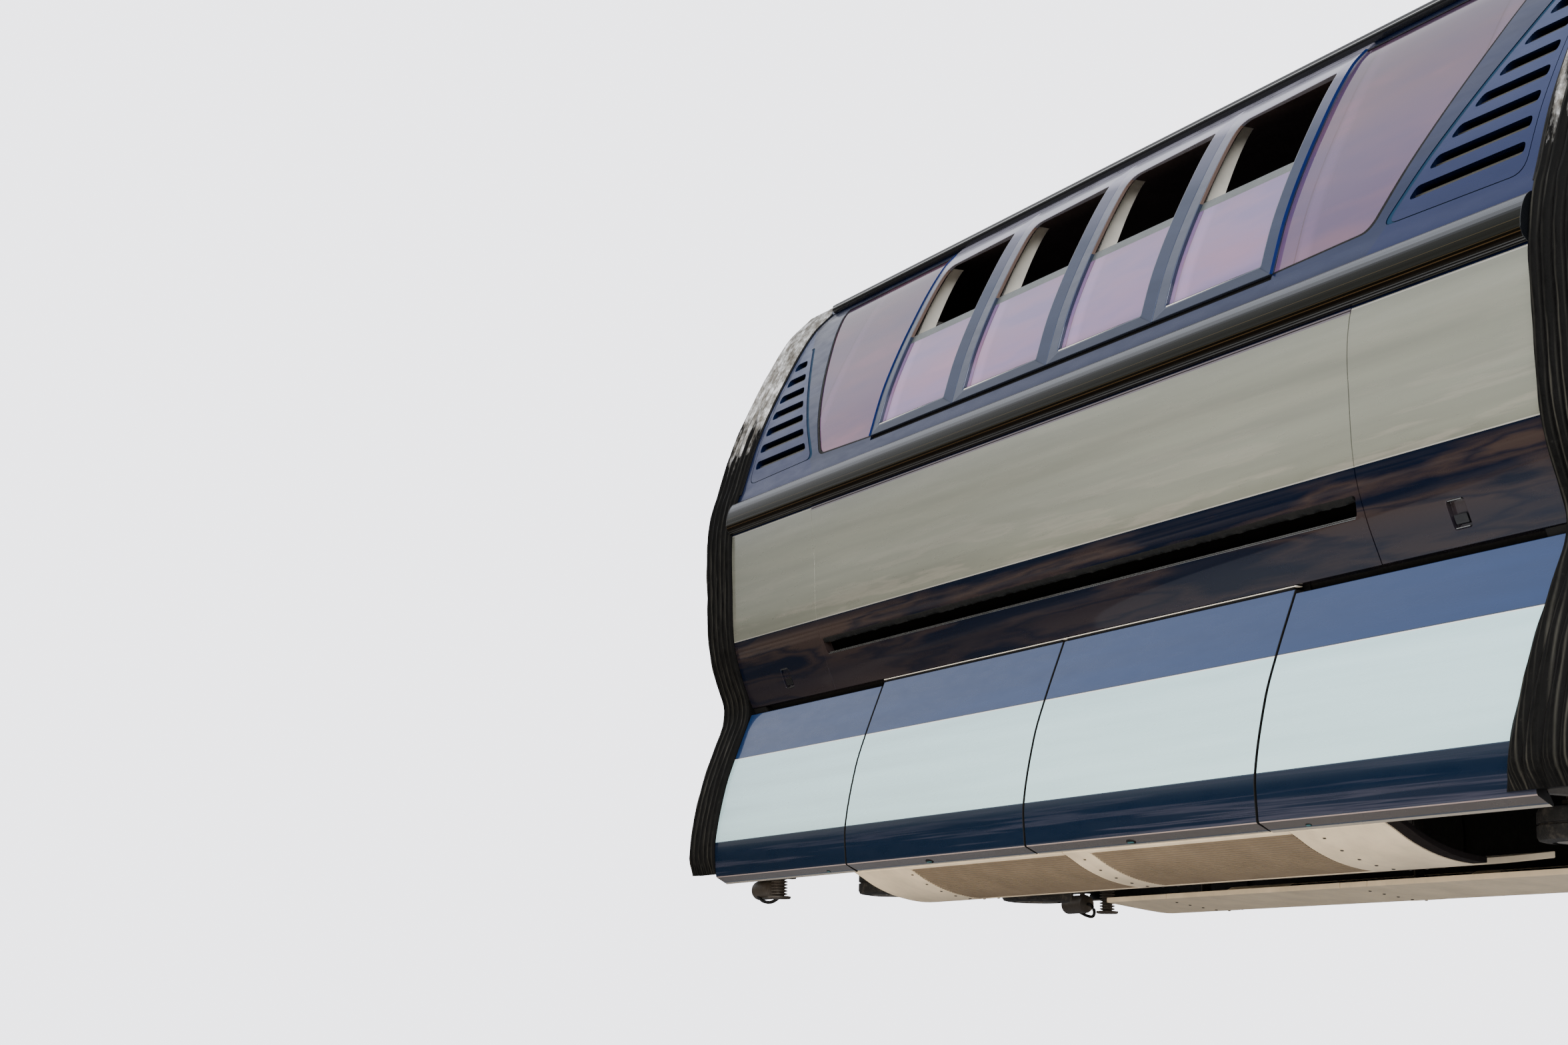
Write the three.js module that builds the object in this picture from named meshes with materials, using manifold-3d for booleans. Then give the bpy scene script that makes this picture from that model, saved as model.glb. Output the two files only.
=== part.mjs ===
// Straddle-beam monorail car: one middle car of an articulated train.
// Millimetres. Origin on the beam's running surface at the middle of the car.
// +X runs along the car, +Z is up, and the side seen in the photograph faces -Y.

import * as THREE from 'three';
import { mergeVertices } from 'three/addons/utils/BufferGeometryUtils.js';
import Module from 'manifold-3d';

const wasm = await Module();
wasm.setup();

// Driving dimensions of the body
const BODY_END = 3250;            // body panels end here, the bellows start
const BELLOWS_END = 3550;         // half way to the next car
const SHELL = 45;                 // thickness of walls, skirts and roof
const FIT = 0.3;                  // gap between pieces that touch
const SEAM = 3;                   // open joint line between panels

// Body section, height against half width, as smooth lines through a few stations
const SKIRT_LINE = [[-805, 1223], [-620, 1231], [-330, 1180], [-155, 1125], [117, 1024]];
const BODY_LINE = [
  [127, 1024], [305, 1098], [490, 1148], [800, 1168], [1080, 1176], [1270, 1150],
  [1345, 1126], [1640, 1036], [1980, 885], [2310, 700], [2470, 550],
];

// Heights of the bands
const SKIRT_BOTTOM = -805;
const SKIRT_TOP = 117;
const END_SKIRT_TOP = 95;         // the fixed end skirts stop a little lower
const LIP = { y: 1153, z: -835 };
const WAIST = 131.5;              // lower edge of the side panels
const SLOT = { bottom: 305, top: 387, depth: 70, wall: 14, end: 2205 };
const PANEL_TOP = 1087;
const GLAZING = { bottom: 1345, top: 2400 };
const ROOF_SEAT = 2440;
const ROOF_CROWN = 2565;
const FLOOR = { bottom: 217, top: 290 };

// Places along the car, from the middle
const PANEL_SEAM = { x: 2230, flare: 43, flare_from: 830 };
const FRAME_EDGE = 1705;
const DOOR_EDGE = 862;            // doorway, on the far side only

// Openable windows in the four-window frame
const WINDOW = { width: 700, post: 160, bottom: 1415, top: 2300, sash: 1907 };
const FRAME_PROUD = 24;

// Fixed windows: the sill rises a little, the raked end is bowed and its foot is rounded
const FIXED = { sill_inner: 20, sill_outer: 36, foot: 2318, head: 2940, corner: 60, bow: 30 };

// Bogies
const BOGIE_X = 2650;
const BEAM_HALF = 255;
const TYRE = { radius: 430, width: 205, gap: 40 };
const SIDE_WHEEL = { radius: 190, width: 130, bore: 34 };
const GUIDE = { x: 480, z: -190 };
const STABILISER = { z: -828 };
const WHEEL_Y = BEAM_HALF + SIDE_WHEEL.radius;
const SPINDLE = 33;
const WHEEL_BOX = { half_length: 500, half_width: 390, top: 905, wall: 25 };
const FLAP_HINGE = { y: 1015, z: 122, bead: 9 };

const PAINT = {
  navy: [0x16305c, 0.18, 0.3],
  pearl: [0xb9bbb2, 0.25, 0.2],
  pale: [0xcfe0e6, 0.25, 0.0],
  frame_blue: [0x5d7296, 0.3, 0.4],
  black_trim: [0x16181c, 0.35, 0.2],
  glass: [0x8f7f99, 0.05, 0.0],
  rubber: [0x131313, 0.8, 0.0],
  cream: [0xd9d0bd, 0.5, 0.0],
  steel: [0x4b4e52, 0.5, 0.8],
  floor: [0x6b6d70, 0.8, 0.0],
  seat: [0x27457c, 0.7, 0.0],
};

const car = new THREE.Group();

// Boolean tools

function toSolid(geometry) {
  const plain = geometry.clone();
  plain.deleteAttribute('normal');
  plain.deleteAttribute('uv');
  const merged = mergeVertices(plain, 0.001);
  return new wasm.Manifold(new wasm.Mesh({
    numProp: 3,
    vertProperties: new Float32Array(merged.attributes.position.array),
    triVerts: new Uint32Array(merged.index.array),
  }));
}

function toGeometry(solid) {
  const mesh = solid.getMesh();
  const geometry = new THREE.BufferGeometry();
  geometry.setAttribute('position', new THREE.BufferAttribute(new Float32Array(mesh.vertProperties), 3));
  geometry.setIndex(new THREE.BufferAttribute(new Uint32Array(mesh.triVerts), 1));
  return geometry;
}

function join(...geometries) {
  const solids = geometries.map(toSolid);
  return toGeometry(solids.slice(1).reduce((sum, next) => sum.add(next), solids[0]));
}

const common = (a, b) => toGeometry(toSolid(a).intersect(toSolid(b)));

function cut(geometry, ...tools) {
  return toGeometry(tools.map(toSolid).reduce((rest, tool) => rest.subtract(tool), toSolid(geometry)));
}

// Prisms and turned shapes

const shapeOf = (points) => new THREE.Shape(points.map(([u, v]) => new THREE.Vector2(u, v)));

// Section in Y and Z, drawn out along X
function alongX(section, x0, x1) {
  const geometry = new THREE.ExtrudeGeometry(shapeOf(section), { depth: x1 - x0, bevelEnabled: false });
  const axes = new THREE.Matrix4().makeBasis(
    new THREE.Vector3(0, 1, 0), new THREE.Vector3(0, 0, 1), new THREE.Vector3(1, 0, 0));
  return geometry.applyMatrix4(axes).translate(x0, 0, 0);
}

// Outline in X and Z, drawn out along Y
function alongY(outline, y0, y1) {
  const geometry = new THREE.ExtrudeGeometry(shapeOf(outline), { depth: y1 - y0, bevelEnabled: false });
  return geometry.rotateX(Math.PI / 2).translate(0, y1, 0);
}

function block(x0, x1, y0, y1, z0, z1) {
  const geometry = new THREE.BoxGeometry(x1 - x0, y1 - y0, z1 - z0);
  return geometry.translate((x0 + x1) / 2, (y0 + y1) / 2, (z0 + z1) / 2);
}

function postZ(x, y, radius, z0, z1, sides = 20) {
  const geometry = new THREE.CylinderGeometry(radius, radius, z1 - z0, sides);
  return geometry.rotateX(Math.PI / 2).translate(x, y, (z0 + z1) / 2);
}

// A wall on side -1 or +1 needs its doorways and windows cut right through it
const across = (side) => (side < 0 ? [-1400, -300] : [300, 1400]);

// Body section

function follow(line, z) {
  let i = 0;
  while (i < line.length - 2 && z > line[i + 1][0]) i += 1;
  const slope = (k) => {
    const before = line[Math.max(k - 1, 0)];
    const after = line[Math.min(k + 1, line.length - 1)];
    return (after[1] - before[1]) / (after[0] - before[0]);
  };
  const span = line[i + 1][0] - line[i][0];
  const t = (z - line[i][0]) / span;
  const start = line[i][1] * (1 + 2 * t) * (1 - t) ** 2 + slope(i) * span * t * (1 - t) ** 2;
  const finish = line[i + 1][1] * t * t * (3 - 2 * t) + slope(i + 1) * span * t * t * (t - 1);
  return start + finish;
}

// All pieces share one faceted outline, so that neighbours meet exactly
const FACET = 120;

function faceted(line, z) {
  const [first, last] = [line[0][0], line[line.length - 1][0]];
  const low = Math.max(Math.floor(z / FACET) * FACET, first);
  const high = Math.min(Math.floor(z / FACET) * FACET + FACET, last);
  if (high <= low) return follow(line, z);
  return THREE.MathUtils.mapLinear(z, low, high, follow(line, low), follow(line, high));
}

const skirtWidth = (z) => faceted(SKIRT_LINE, z);
const sideWidth = (z) => faceted(BODY_LINE, z);

const steps = (from, to, count) =>
  Array.from({ length: count + 1 }, (_, i) => from + (to - from) * i / count);

// Heights of the facets between two heights, with both ends
function heightsBetween(z0, z1) {
  const heights = [z0];
  for (let z = Math.floor(z0 / FACET + 1) * FACET; z < z1; z += FACET) heights.push(z);
  return [...heights, z1];
}

// Strip of the shell between two heights, from `outside` to `inside` of its outer line
function strip(width, side, z0, z1, outside, inside) {
  const heights = heightsBetween(z0, z1);
  const outer = heights.map((z) => [side * (width(z) + outside), z]);
  const inner = heights.map((z) => [side * (width(z) + inside), z]);
  return [...outer, ...inner.reverse()];
}

// Every piece is added here, under its own name

function add(name, geometry, paint, parent = car) {
  const [color, roughness, metalness] = PAINT[paint];
  const mesh = new THREE.Mesh(geometry, new THREE.MeshStandardMaterial({ color, roughness, metalness }));
  mesh.name = name;
  parent.add(mesh);
  return mesh;
}

// Roof, with the black rail along each edge
const RAIL = { inner: 540, outer: 597, foot: 584, low: 2452, high: 2486, shoulder: 560, crest: 2496 };

function roofShell() {
  const crown = (half, rise, base) => steps(-1, 1, 12).map((t) => [half * t, base + rise * (1 - t * t)]);
  const outer = crown(RAIL.shoulder, ROOF_CROWN - RAIL.crest, RAIL.crest);
  const inner = crown(RAIL.inner - 26, 55, 2462);
  const edge = (side) =>
    [[side * RAIL.outer, RAIL.high], [side * RAIL.outer, RAIL.low], [side * RAIL.foot, ROOF_SEAT]];
  const section = [
    ...outer, ...edge(1), [RAIL.inner, ROOF_SEAT],
    ...inner.reverse(),
    [-RAIL.inner, ROOF_SEAT], ...edge(-1).reverse(),
  ];
  return alongX(section, -BODY_END, BODY_END).translate(0, 0, FIT);
}

// Outline of the glazed opening: stepped sill, raked ends, rounded feet

function glazedOutline(inset) {
  const { sill_inner, sill_outer, corner, bow } = FIXED;
  const low = GLAZING.bottom + inset;
  const high = GLAZING.top - inset;
  const foot = FIXED.foot - inset;
  const head = FIXED.head - inset;
  const step = FRAME_EDGE + FIT - inset;
  const rake = (head - foot) / (high - low - sill_outer);
  const bend = { x: (foot + head) / 2 + bow * 0.85, z: (low + sill_outer + high) / 2 - bow * 0.5 };
  const half = new THREE.Shape();
  half.moveTo(0, low);
  half.lineTo(step, low);
  half.lineTo(step, low + sill_inner);
  half.lineTo(foot - corner, low + sill_outer);
  half.quadraticCurveTo(foot, low + sill_outer, foot + corner * rake, low + sill_outer + corner);
  half.quadraticCurveTo(bend.x, bend.z, head, high);
  const right = half.getPoints(5).slice(1).map((p) => [p.x, p.y]);
  return [...right, ...right.map(([x, z]) => [-x, z]).reverse()];
}

// Slots of a louvre panel, from the lowest up; their inner ends follow the raked window
const LOUVRE = {
  count: 7, lowest: 1456, pitch: 100, height: 40,
  inner: 2510, lean: 84,          // inner end of the lowest slot, and its step from slot to slot
  outer: 3140, spread: 6,
};

function louvreSlots(end, side) {
  const share = LOUVRE.height / LOUVRE.pitch;
  return Array.from({ length: LOUVRE.count }, (_, i) => {
    const low = LOUVRE.lowest + i * LOUVRE.pitch;
    const high = low + LOUVRE.height;
    const [inner, outer] = [LOUVRE.inner + i * LOUVRE.lean, LOUVRE.outer + i * LOUVRE.spread];
    const [topInner, topOuter] = [inner + share * LOUVRE.lean, outer + share * LOUVRE.spread];
    const outline = [[inner, low], [outer, low], [topOuter, high], [topInner, high]];
    const turned = end < 0 ? outline.map(([x, z]) => [-x, z]).reverse() : outline;
    return alongY(turned, ...across(side));
  });
}

function upperSide(side) {
  const section = strip(sideWidth, side, PANEL_TOP + FIT, ROOF_SEAT, 0, -SHELL);
  const openings = [alongY(glazedOutline(0), ...across(side))];
  const slots = [...louvreSlots(-1, side), ...louvreSlots(1, side)];
  if (side > 0) {
    openings.push(block(-DOOR_EDGE, DOOR_EDGE, ...across(side), 1000, GLAZING.bottom + 50));
  }
  return cut(alongX(section, -BODY_END, BODY_END), ...openings, ...slots);
}

// Four-window frame; the far one spans the doorway between its outer windows

const windowCentres = [-1.5, -0.5, 0.5, 1.5].map((k) => k * (WINDOW.width + WINDOW.post));

function windowHole(x, side) {
  const half = WINDOW.width / 2;
  return block(x - half, x + half, ...across(side), WINDOW.bottom, WINDOW.top);
}

function windowFrame(side) {
  const section = strip(
    sideWidth, side, GLAZING.bottom + FIT, GLAZING.top - FIT, FRAME_PROUD, -FRAME_PROUD);
  const frame = alongX(section, -FRAME_EDGE, FRAME_EDGE);
  if (side < 0) return cut(frame, ...windowCentres.map((x) => windowHole(x, side)));
  const doorway = block(-DOOR_EDGE, DOOR_EDGE, ...across(side), 1300, 2345);
  return cut(frame, windowHole(windowCentres[0], side), windowHole(windowCentres[3], side), doorway);
}

// Sash glass hangs behind the frame and stands on a rail; its upper half is left open

function sashes(side, centres) {
  const behind = -FRAME_PROUD - FIT;
  const half = WINDOW.width / 2 + 30;
  const glass = strip(sideWidth, side, WINDOW.bottom - 30, WINDOW.sash, behind, behind - 12);
  const rail = strip(sideWidth, side, GLAZING.bottom + 10, WINDOW.bottom - 5, behind, behind - 30);
  const from = centres[0] - half;
  const to = centres[centres.length - 1] + half;
  return join(alongX(rail, from, to), ...centres.map((x) => alongX(glass, x - half, x + half)));
}

function fixedWindow(end, side) {
  const section = strip(sideWidth, side, GLAZING.bottom, GLAZING.top, -4, -18);
  const [x0, x1] = [FRAME_EDGE + FIT, FIXED.head];
  const glass = end < 0 ? alongX(section, -x1, -x0) : alongX(section, x0, x1);
  return common(glass, alongY(glazedOutline(FIT), ...across(side)));
}

// Half-round belt moulding over the joint between panels and upper side

const MOULDING = { bottom: 1092, top: 1274, proud: 45 };

function mouldingSection(side, back = FIT) {
  const mid = (MOULDING.bottom + MOULDING.top) / 2;
  const half = (MOULDING.top - MOULDING.bottom) / 2;
  const bulge = steps(-90, 90, 8).map((degrees) => {
    const angle = degrees * Math.PI / 180;
    const z = mid + half * Math.sin(angle);
    return [side * (sideWidth(z) + FIT + 2 + MOULDING.proud * Math.cos(angle)), z];
  });
  const heights = heightsBetween(MOULDING.bottom, MOULDING.top).reverse();
  const seat = heights.map((z) => [side * (sideWidth(z) + back), z]);
  return [...bulge, ...seat];
}

const moulding = (side, x0, x1) => alongX(mouldingSection(side), x0, x1);

// Lower side panels

function sidePanel(end, side) {
  const section = strip(sideWidth, side, WAIST, PANEL_TOP, 0, -SHELL);
  const [x0, x1] = end < 0 ? [-BODY_END, -PANEL_SEAM.x] : [PANEL_SEAM.x, BODY_END];
  const panel = alongX(section, x0, x1);
  return cut(panel, alongY(seamOutline(SEAM), ...across(side)));
}

// Outline of the centre panel; its ends curve outward under the moulding
function seamOutline(grow) {
  const { x, flare, flare_from: from } = PANEL_SEAM;
  const curve = steps(0, 1, 5).map((t) => [x + grow + flare * t * t, from + (PANEL_TOP + 20 - from) * t]);
  const right = [[x + grow, WAIST - 20], ...curve];
  return [...right, ...right.map(([u, z]) => [-u, z]).reverse()];
}

// Centre panel with the long dark slot pressed into it at floor level
function centrePanel(side) {
  const { bottom, top, depth, wall, end } = SLOT;
  const reach = PANEL_SEAM.x + PANEL_SEAM.flare;
  const skin = alongX(strip(sideWidth, side, WAIST, PANEL_TOP, 0, -SHELL), -reach, reach);
  const trough = alongX(
    strip(sideWidth, side, bottom - wall, top + wall, -SHELL / 2, -depth - wall), -end - wall, end + wall);
  const channel = alongX(strip(sideWidth, side, bottom, top, 20, -depth), -end, end);
  const panel = cut(join(skin, trough), channel);
  const shaped = common(panel, alongY(seamOutline(0), ...across(side)));
  if (side < 0) return shaped;
  return cut(shaped, block(-DOOR_EDGE, DOOR_EDGE, ...across(side), bottom, 1200));
}

// Door leaf of the far side: curved like the wall, with its own window and moulding

function doorLeaf(end) {
  const side = 1;
  const [x0, x1] = end < 0 ? [-DOOR_EDGE + FIT, -0.5] : [0.5, DOOR_EDGE - FIT];
  const low = strip(sideWidth, side, SLOT.bottom + FIT, GLAZING.bottom + 1, 0, -SHELL);
  const high = strip(sideWidth, side, GLAZING.bottom, 2345 - FIT, FRAME_PROUD, -SHELL);
  const leaf = join(alongX(low, x0, x1), alongX(high, x0, x1), alongX(mouldingSection(side, -10), x0, x1));
  return cut(leaf, windowHole(windowCentres[end < 0 ? 1 : 2], side));
}

// Skirts: end ones are fixed, the two middle ones on each side lift on a hinge

function skirtSection(side, top, bead) {
  const heights = heightsBetween(SKIRT_BOTTOM, top);
  const inner = heights.map((z) => [side * (skirtWidth(z) - SHELL), z]);
  const outer = heights.reverse().map((z) => [side * skirtWidth(z), z]);
  const lip = [[side * LIP.y, LIP.z], [side * (LIP.y - 4), LIP.z + 12]];
  if (!bead) return [...outer, ...lip, ...inner];
  const { y, z, bead: radius } = FLAP_HINGE;
  const round = steps(215, -35, 8).map((degrees) => {
    const angle = degrees * Math.PI / 180;
    return [side * (y + radius * Math.cos(angle)), z + radius * Math.sin(angle)];
  });
  return [...round, ...outer, ...lip, ...inner];
}

// Belly pan beside the beam, hung from the sill by three web plates

const BELLY = { from: -1790, to: 2350, thick: 25 };

// columns: distance from the middle, height of the pan's underside
const BELLY_LINE = [
  [1132, -837], [1095, -856], [1030, -893], [960, -923], [890, -945],
  [800, -962], [720, -967], [600, -957], [345, -925],
];

function bellyPan(side) {
  const topside = BELLY_LINE.map(([y, z]) => [y, z + BELLY.thick]).reverse();
  const section = [...BELLY_LINE, ...topside].map(([y, z]) => [side * y, z]);
  const webs = [-1500, 200, 2000].map((x) => {
    const [y0, y1] = side < 0 ? [-790, -735] : [735, 790];
    return block(x, x + 12, y0, y1, -950, SILL.bottom - FIT);
  });
  return join(alongX(section, BELLY.from, BELLY.to), ...webs);
}

// Floor with a well for each load wheel pair, and the box over it

const SILL = { inner: 725, outer: 800, bottom: -60, end: 3200 };

function floorDeck() {
  const half = (z) => sideWidth(z) - SHELL - FIT;
  const edge = heightsBetween(FLOOR.bottom, FLOOR.top);
  const section = [...edge.map((z) => [half(z), z]), ...edge.reverse().map((z) => [-half(z), z])];
  const { half_length: long, half_width: wide } = WHEEL_BOX;
  const wells = [-BOGIE_X, BOGIE_X].map((x) => block(x - long, x + long, -wide, wide, 0, FLOOR.top + 10));
  return cut(alongX(section, -SILL.end, SILL.end), ...wells);
}

function wheelBox(end) {
  const { half_length: long, half_width: wide, top, wall } = WHEEL_BOX;
  const x = end * BOGIE_X;
  const base = FLOOR.top + FIT;
  const outside = block(x - long - wall, x + long + wall, -wide - wall, wide + wall, base, top + wall);
  return cut(outside, block(x - long, x + long, -wide, wide, 0, top));
}

// Longitudinal sills with cross members and four jacking pads
const JACKING = { x: 1200, half: 70, thick: 14 };

function underframe() {
  const top = FLOOR.bottom - FIT;
  const sills = [-1, 1].map((side) => {
    const [y0, y1] = side < 0 ? [-SILL.outer, -SILL.inner] : [SILL.inner, SILL.outer];
    return block(-SILL.end, SILL.end, y0, y1, SILL.bottom, top);
  });
  const crossMembers = [-1750, -875, 0, 875, 1750].map((x) =>
    block(x - 50, x + 50, -SILL.outer, SILL.outer, 50, top));
  const pads = [-1, 1].flatMap((side) => [-JACKING.x, JACKING.x].map((x) => {
    const [y0, y1] = side < 0 ? [-SILL.outer, -SILL.inner] : [SILL.inner, SILL.outer];
    const { half, thick } = JACKING;
    return block(x - half, x + half, y0 + 5, y1 - 5, SILL.bottom - thick, SILL.bottom + 5);
  }));
  return join(...sills, ...crossMembers, ...pads);
}

// End wall: closed above the floor, open over the beam, with a drawbar eye

function endWall(end) {
  const skin = -SHELL - FIT;
  const rim = (side) => [
    ...heightsBetween(SKIRT_BOTTOM + 10, SKIRT_TOP).map((z) => [side * (skirtWidth(z) + skin), z]),
    ...heightsBetween(WAIST, ROOF_SEAT).map((z) => [side * (sideWidth(z) + skin), z]),
  ];
  const leg = 760;
  const under = [[leg, SKIRT_BOTTOM + 10], [leg, 60], [leg - 140, FLOOR.bottom + 6]];
  const wall = [
    ...rim(1), ...rim(-1).reverse(),
    ...under.map(([y, z]) => [-y, z]), ...under.slice().reverse(),
  ];
  const [x0, x1] = end < 0 ? [-BODY_END, -SILL.end - FIT] : [SILL.end + FIT, BODY_END];
  const [b0, b1] = end < 0 ? [-BELLOWS_END + 20, -BODY_END + 20] : [BODY_END - 20, BELLOWS_END - 20];
  return join(alongX(wall, x0, x1), block(b0, b1, -70, 70, 240, 340));
}

// Rubber bellows: an arch of folds over roof, sides and skirts

function bellows(end) {
  const folds = 3;
  const heights = [...steps(SKIRT_BOTTOM + 20, SKIRT_TOP, 6), ...steps(170, 2400, 9)];
  const width = (z) => (z <= SKIRT_TOP ? skirtWidth(z) : sideWidth(z));
  const half = [...heights.map((z) => [width(z), z]), [430, 2535], [220, 2568], [0, 2575]];
  const arch = (offset) => {
    const right = half.map(([y, z], i) => {
      const [before, after] = [half[Math.max(i - 1, 0)], half[Math.min(i + 1, half.length - 1)]];
      const run = new THREE.Vector2(after[0] - before[0], after[1] - before[1]).normalize();
      return [Math.max(y + run.y * offset, 0), z - run.x * offset];
    });
    return [...right, ...right.slice(0, -1).reverse().map(([y, z]) => [-y, z])];
  };
  const inner = arch(-60).reverse();
  const loop = (offset) => [...arch(offset), ...inner];
  const x0 = BODY_END + FIT;
  const stations = steps(0, folds, folds * 2).map((t, i) => ({
    x: x0 + (BELLOWS_END - x0) * t / folds,
    section: loop(i % 2 === 0 ? 0 : 28),
  }));
  const geometry = loft(stations);
  return end < 0 ? geometry.rotateZ(Math.PI) : geometry;
}

// Closed skin through sections that have the same number of points
function loft(stations) {
  const count = stations[0].section.length;
  const position = stations.flatMap(({ x, section }) => section.flatMap(([y, z]) => [x, y, z]));
  const index = [];
  for (let s = 0; s < stations.length - 1; s += 1) {
    for (let i = 0; i < count; i += 1) {
      const a = s * count + i;
      const b = s * count + (i + 1) % count;
      index.push(a, b, a + count, b, b + count, a + count);
    }
  }
  const contour = stations[0].section.map(([y, z]) => new THREE.Vector2(y, z));
  const last = (stations.length - 1) * count;
  for (const [a, b, c] of THREE.ShapeUtils.triangulateShape(contour, [])) {
    index.push(a, c, b, last + a, last + b, last + c);
  }
  const geometry = new THREE.BufferGeometry();
  geometry.setAttribute('position', new THREE.Float32BufferAttribute(position, 3));
  geometry.setIndex(index);
  return geometry;
}

// Seats

function endBench(end) {
  const base = FLOOR.top + FIT;
  const lid = WHEEL_BOX.top + WHEEL_BOX.wall + FIT;
  const inner = WHEEL_BOX.half_width + WHEEL_BOX.wall + 5;
  const front = BOGIE_X - WHEEL_BOX.half_length - WHEEL_BOX.wall;
  const back = front + 560;
  const pieces = [
    block(front, back, -930, 930, lid, lid + 80),
    block(back - 90, back, -880, 880, lid + 60, 1560),
    block(front, back, inner, 930, base, lid + 1),
    block(front, back, -930, -inner, base, lid + 1),
  ];
  const bench = join(...pieces);
  return end < 0 ? bench.rotateZ(Math.PI) : bench;
}

function centreSeat() {
  const base = FLOOR.top + FIT;
  return join(
    block(-1350, 1350, -300, 300, base, 660),
    block(-1350, 1350, -500, 500, 659, 750),
    block(-1350, 1350, -80, 80, 749, 1250),
  );
}

// Bogie: a saddle over the beam that carries the twin load tyres and six side wheels

const SADDLE = { inner: 285, outer: 345, low: -100, high: 150, end: 560 };

function bogieFrame() {
  const { inner, outer, low, high, end } = SADDLE;
  const post = { half: 75, reach: WHEEL_Y + 70 };
  const parts = [];
  for (const side of [-1, 1]) {
    const span = (y0, y1) => (side < 0 ? [-y1, -y0] : [y0, y1]);
    parts.push(block(-end, end, ...span(inner, outer), low, high));
    parts.push(block(-110, 110, ...span(inner, outer), low, TYRE.radius + 90));
    parts.push(block(-post.half, post.half, ...span(outer - 5, post.reach), low, -40));
    parts.push(block(-post.half, post.half, ...span(WHEEL_Y - 65, post.reach), hubTop(STABILISER.z), -40));
    parts.push(postZ(0, side * WHEEL_Y, SPINDLE, STABILISER.z - 70, hubTop(STABILISER.z) + 5));
    for (const x of [-GUIDE.x, GUIDE.x]) {
      parts.push(block(x - 70, x + 70, ...span(outer - 5, post.reach), hubTop(GUIDE.z), -55));
      parts.push(postZ(x, side * WHEEL_Y, SPINDLE, GUIDE.z - 70, hubTop(GUIDE.z) + 5));
      parts.push(postZ(x, side * (WHEEL_Y + 10), 50, -60, FLOOR.bottom - FIT, 16));
    }
  }
  for (const x of [-515, 515]) parts.push(block(x - 45, x + 45, -outer + 5, outer - 5, 60, high));
  const motor = new THREE.CylinderGeometry(125, 125, 480, 20).rotateZ(Math.PI / 2).translate(0, -475, 78);
  parts.push(motor, block(-120, 120, -480, -outer + 5, 20, 130));
  const axleHole = new THREE.CylinderGeometry(59.2, 59.2, 900, 24).translate(0, 0, TYRE.radius);
  return cut(join(...parts), axleHole);
}

function hubTop(z) {
  return z + SIDE_WHEEL.width / 2 + 5.5;
}

// Profiles turned about the wheel's axis: radius, place along the axis

function loadWheels() {
  const { radius, width, gap } = TYRE;
  const inner = gap / 2;
  const outer = gap / 2 + width;
  const axleEnd = SADDLE.outer + 4;
  const half = [
    [160, 0], [160, inner], [392, inner], [radius, inner + 28], [radius, outer - 28], [392, outer],
    [235, outer], [225, outer - 35], [110, outer - 35], [58, outer + 35], [58, axleEnd], [0, axleEnd],
  ];
  const other = half.slice(1).map(([r, y]) => [r, -y]).reverse();
  const profile = [...other, ...half].map(([r, y]) => new THREE.Vector2(r, y));
  return new THREE.LatheGeometry(profile, 26);
}

function sideWheel() {
  const { radius, width, bore } = SIDE_WHEEL;
  const half = width / 2;
  const profile = [
    [bore, -half + 10], [95, -half + 10], [120, -half], [radius - 22, -half], [radius, -half + 22],
    [radius, half - 22], [radius - 22, half], [95, half + 5], [bore, half + 5], [bore, -half + 10],
  ];
  const points = profile.map(([r, z]) => new THREE.Vector2(r, z));
  return new THREE.LatheGeometry(points, 18).rotateX(Math.PI / 2);
}

// Assembly

const ENDS = [['left', -1], ['right', 1]];
const SIDES = [['near', -1], ['far', 1]];

add('underframe', underframe(), 'steel');
add('floor_deck', floorDeck(), 'floor');
add('roof_shell', roofShell(), 'navy');
add('centre_seat', centreSeat(), 'seat');

for (const [endName, end] of ENDS) {
  add(`end_wall_${endName}`, endWall(end), 'steel');
  add(`bellows_${endName}`, bellows(end), 'rubber');
  add(`end_bench_${endName}`, endBench(end), 'seat');
  add(`wheel_box_${endName}`, wheelBox(end), 'floor');
  add(`door_leaf_${endName}`, doorLeaf(end), 'navy');
}

for (const [sideName, side] of SIDES) {
  add(`upper_side_${sideName}`, upperSide(side), 'frame_blue');
  add(`window_frame_${sideName}`, windowFrame(side), 'frame_blue');
  add(`centre_panel_${sideName}`, centrePanel(side), 'pearl');
  add(`belly_pan_${sideName}`, bellyPan(side), 'cream');
  for (const [endName, end] of ENDS) {
    const place = `${sideName}_${endName}`;
    const between = (from, to) => (end < 0 ? [-to, -from] : [from, to]);
    add(`fixed_window_${place}`, fixedWindow(end, side), 'glass');
    add(`end_panel_${place}`, sidePanel(end, side), 'pearl');
    const fixedSection = skirtSection(side, END_SKIRT_TOP, false);
    add(`end_skirt_${place}`, alongX(fixedSection, ...between(FRAME_EDGE + SEAM, BODY_END)), 'pale');
    const flapSection = skirtSection(side, SKIRT_TOP - 4, true);
    add(`skirt_flap_${place}`, alongX(flapSection, ...between(SEAM, FRAME_EDGE - SEAM)), 'pale');
  }
}

add('sash_windows_near', sashes(-1, windowCentres), 'glass');
add('sash_window_far_left', sashes(1, [windowCentres[0]]), 'glass');
add('sash_window_far_right', sashes(1, [windowCentres[3]]), 'glass');
add('belt_moulding_near', moulding(-1, -BODY_END, BODY_END), 'black_trim');
add('belt_moulding_far_left', moulding(1, -BODY_END, -DOOR_EDGE - FIT), 'black_trim');
add('belt_moulding_far_right', moulding(1, DOOR_EDGE + FIT, BODY_END), 'black_trim');

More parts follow.
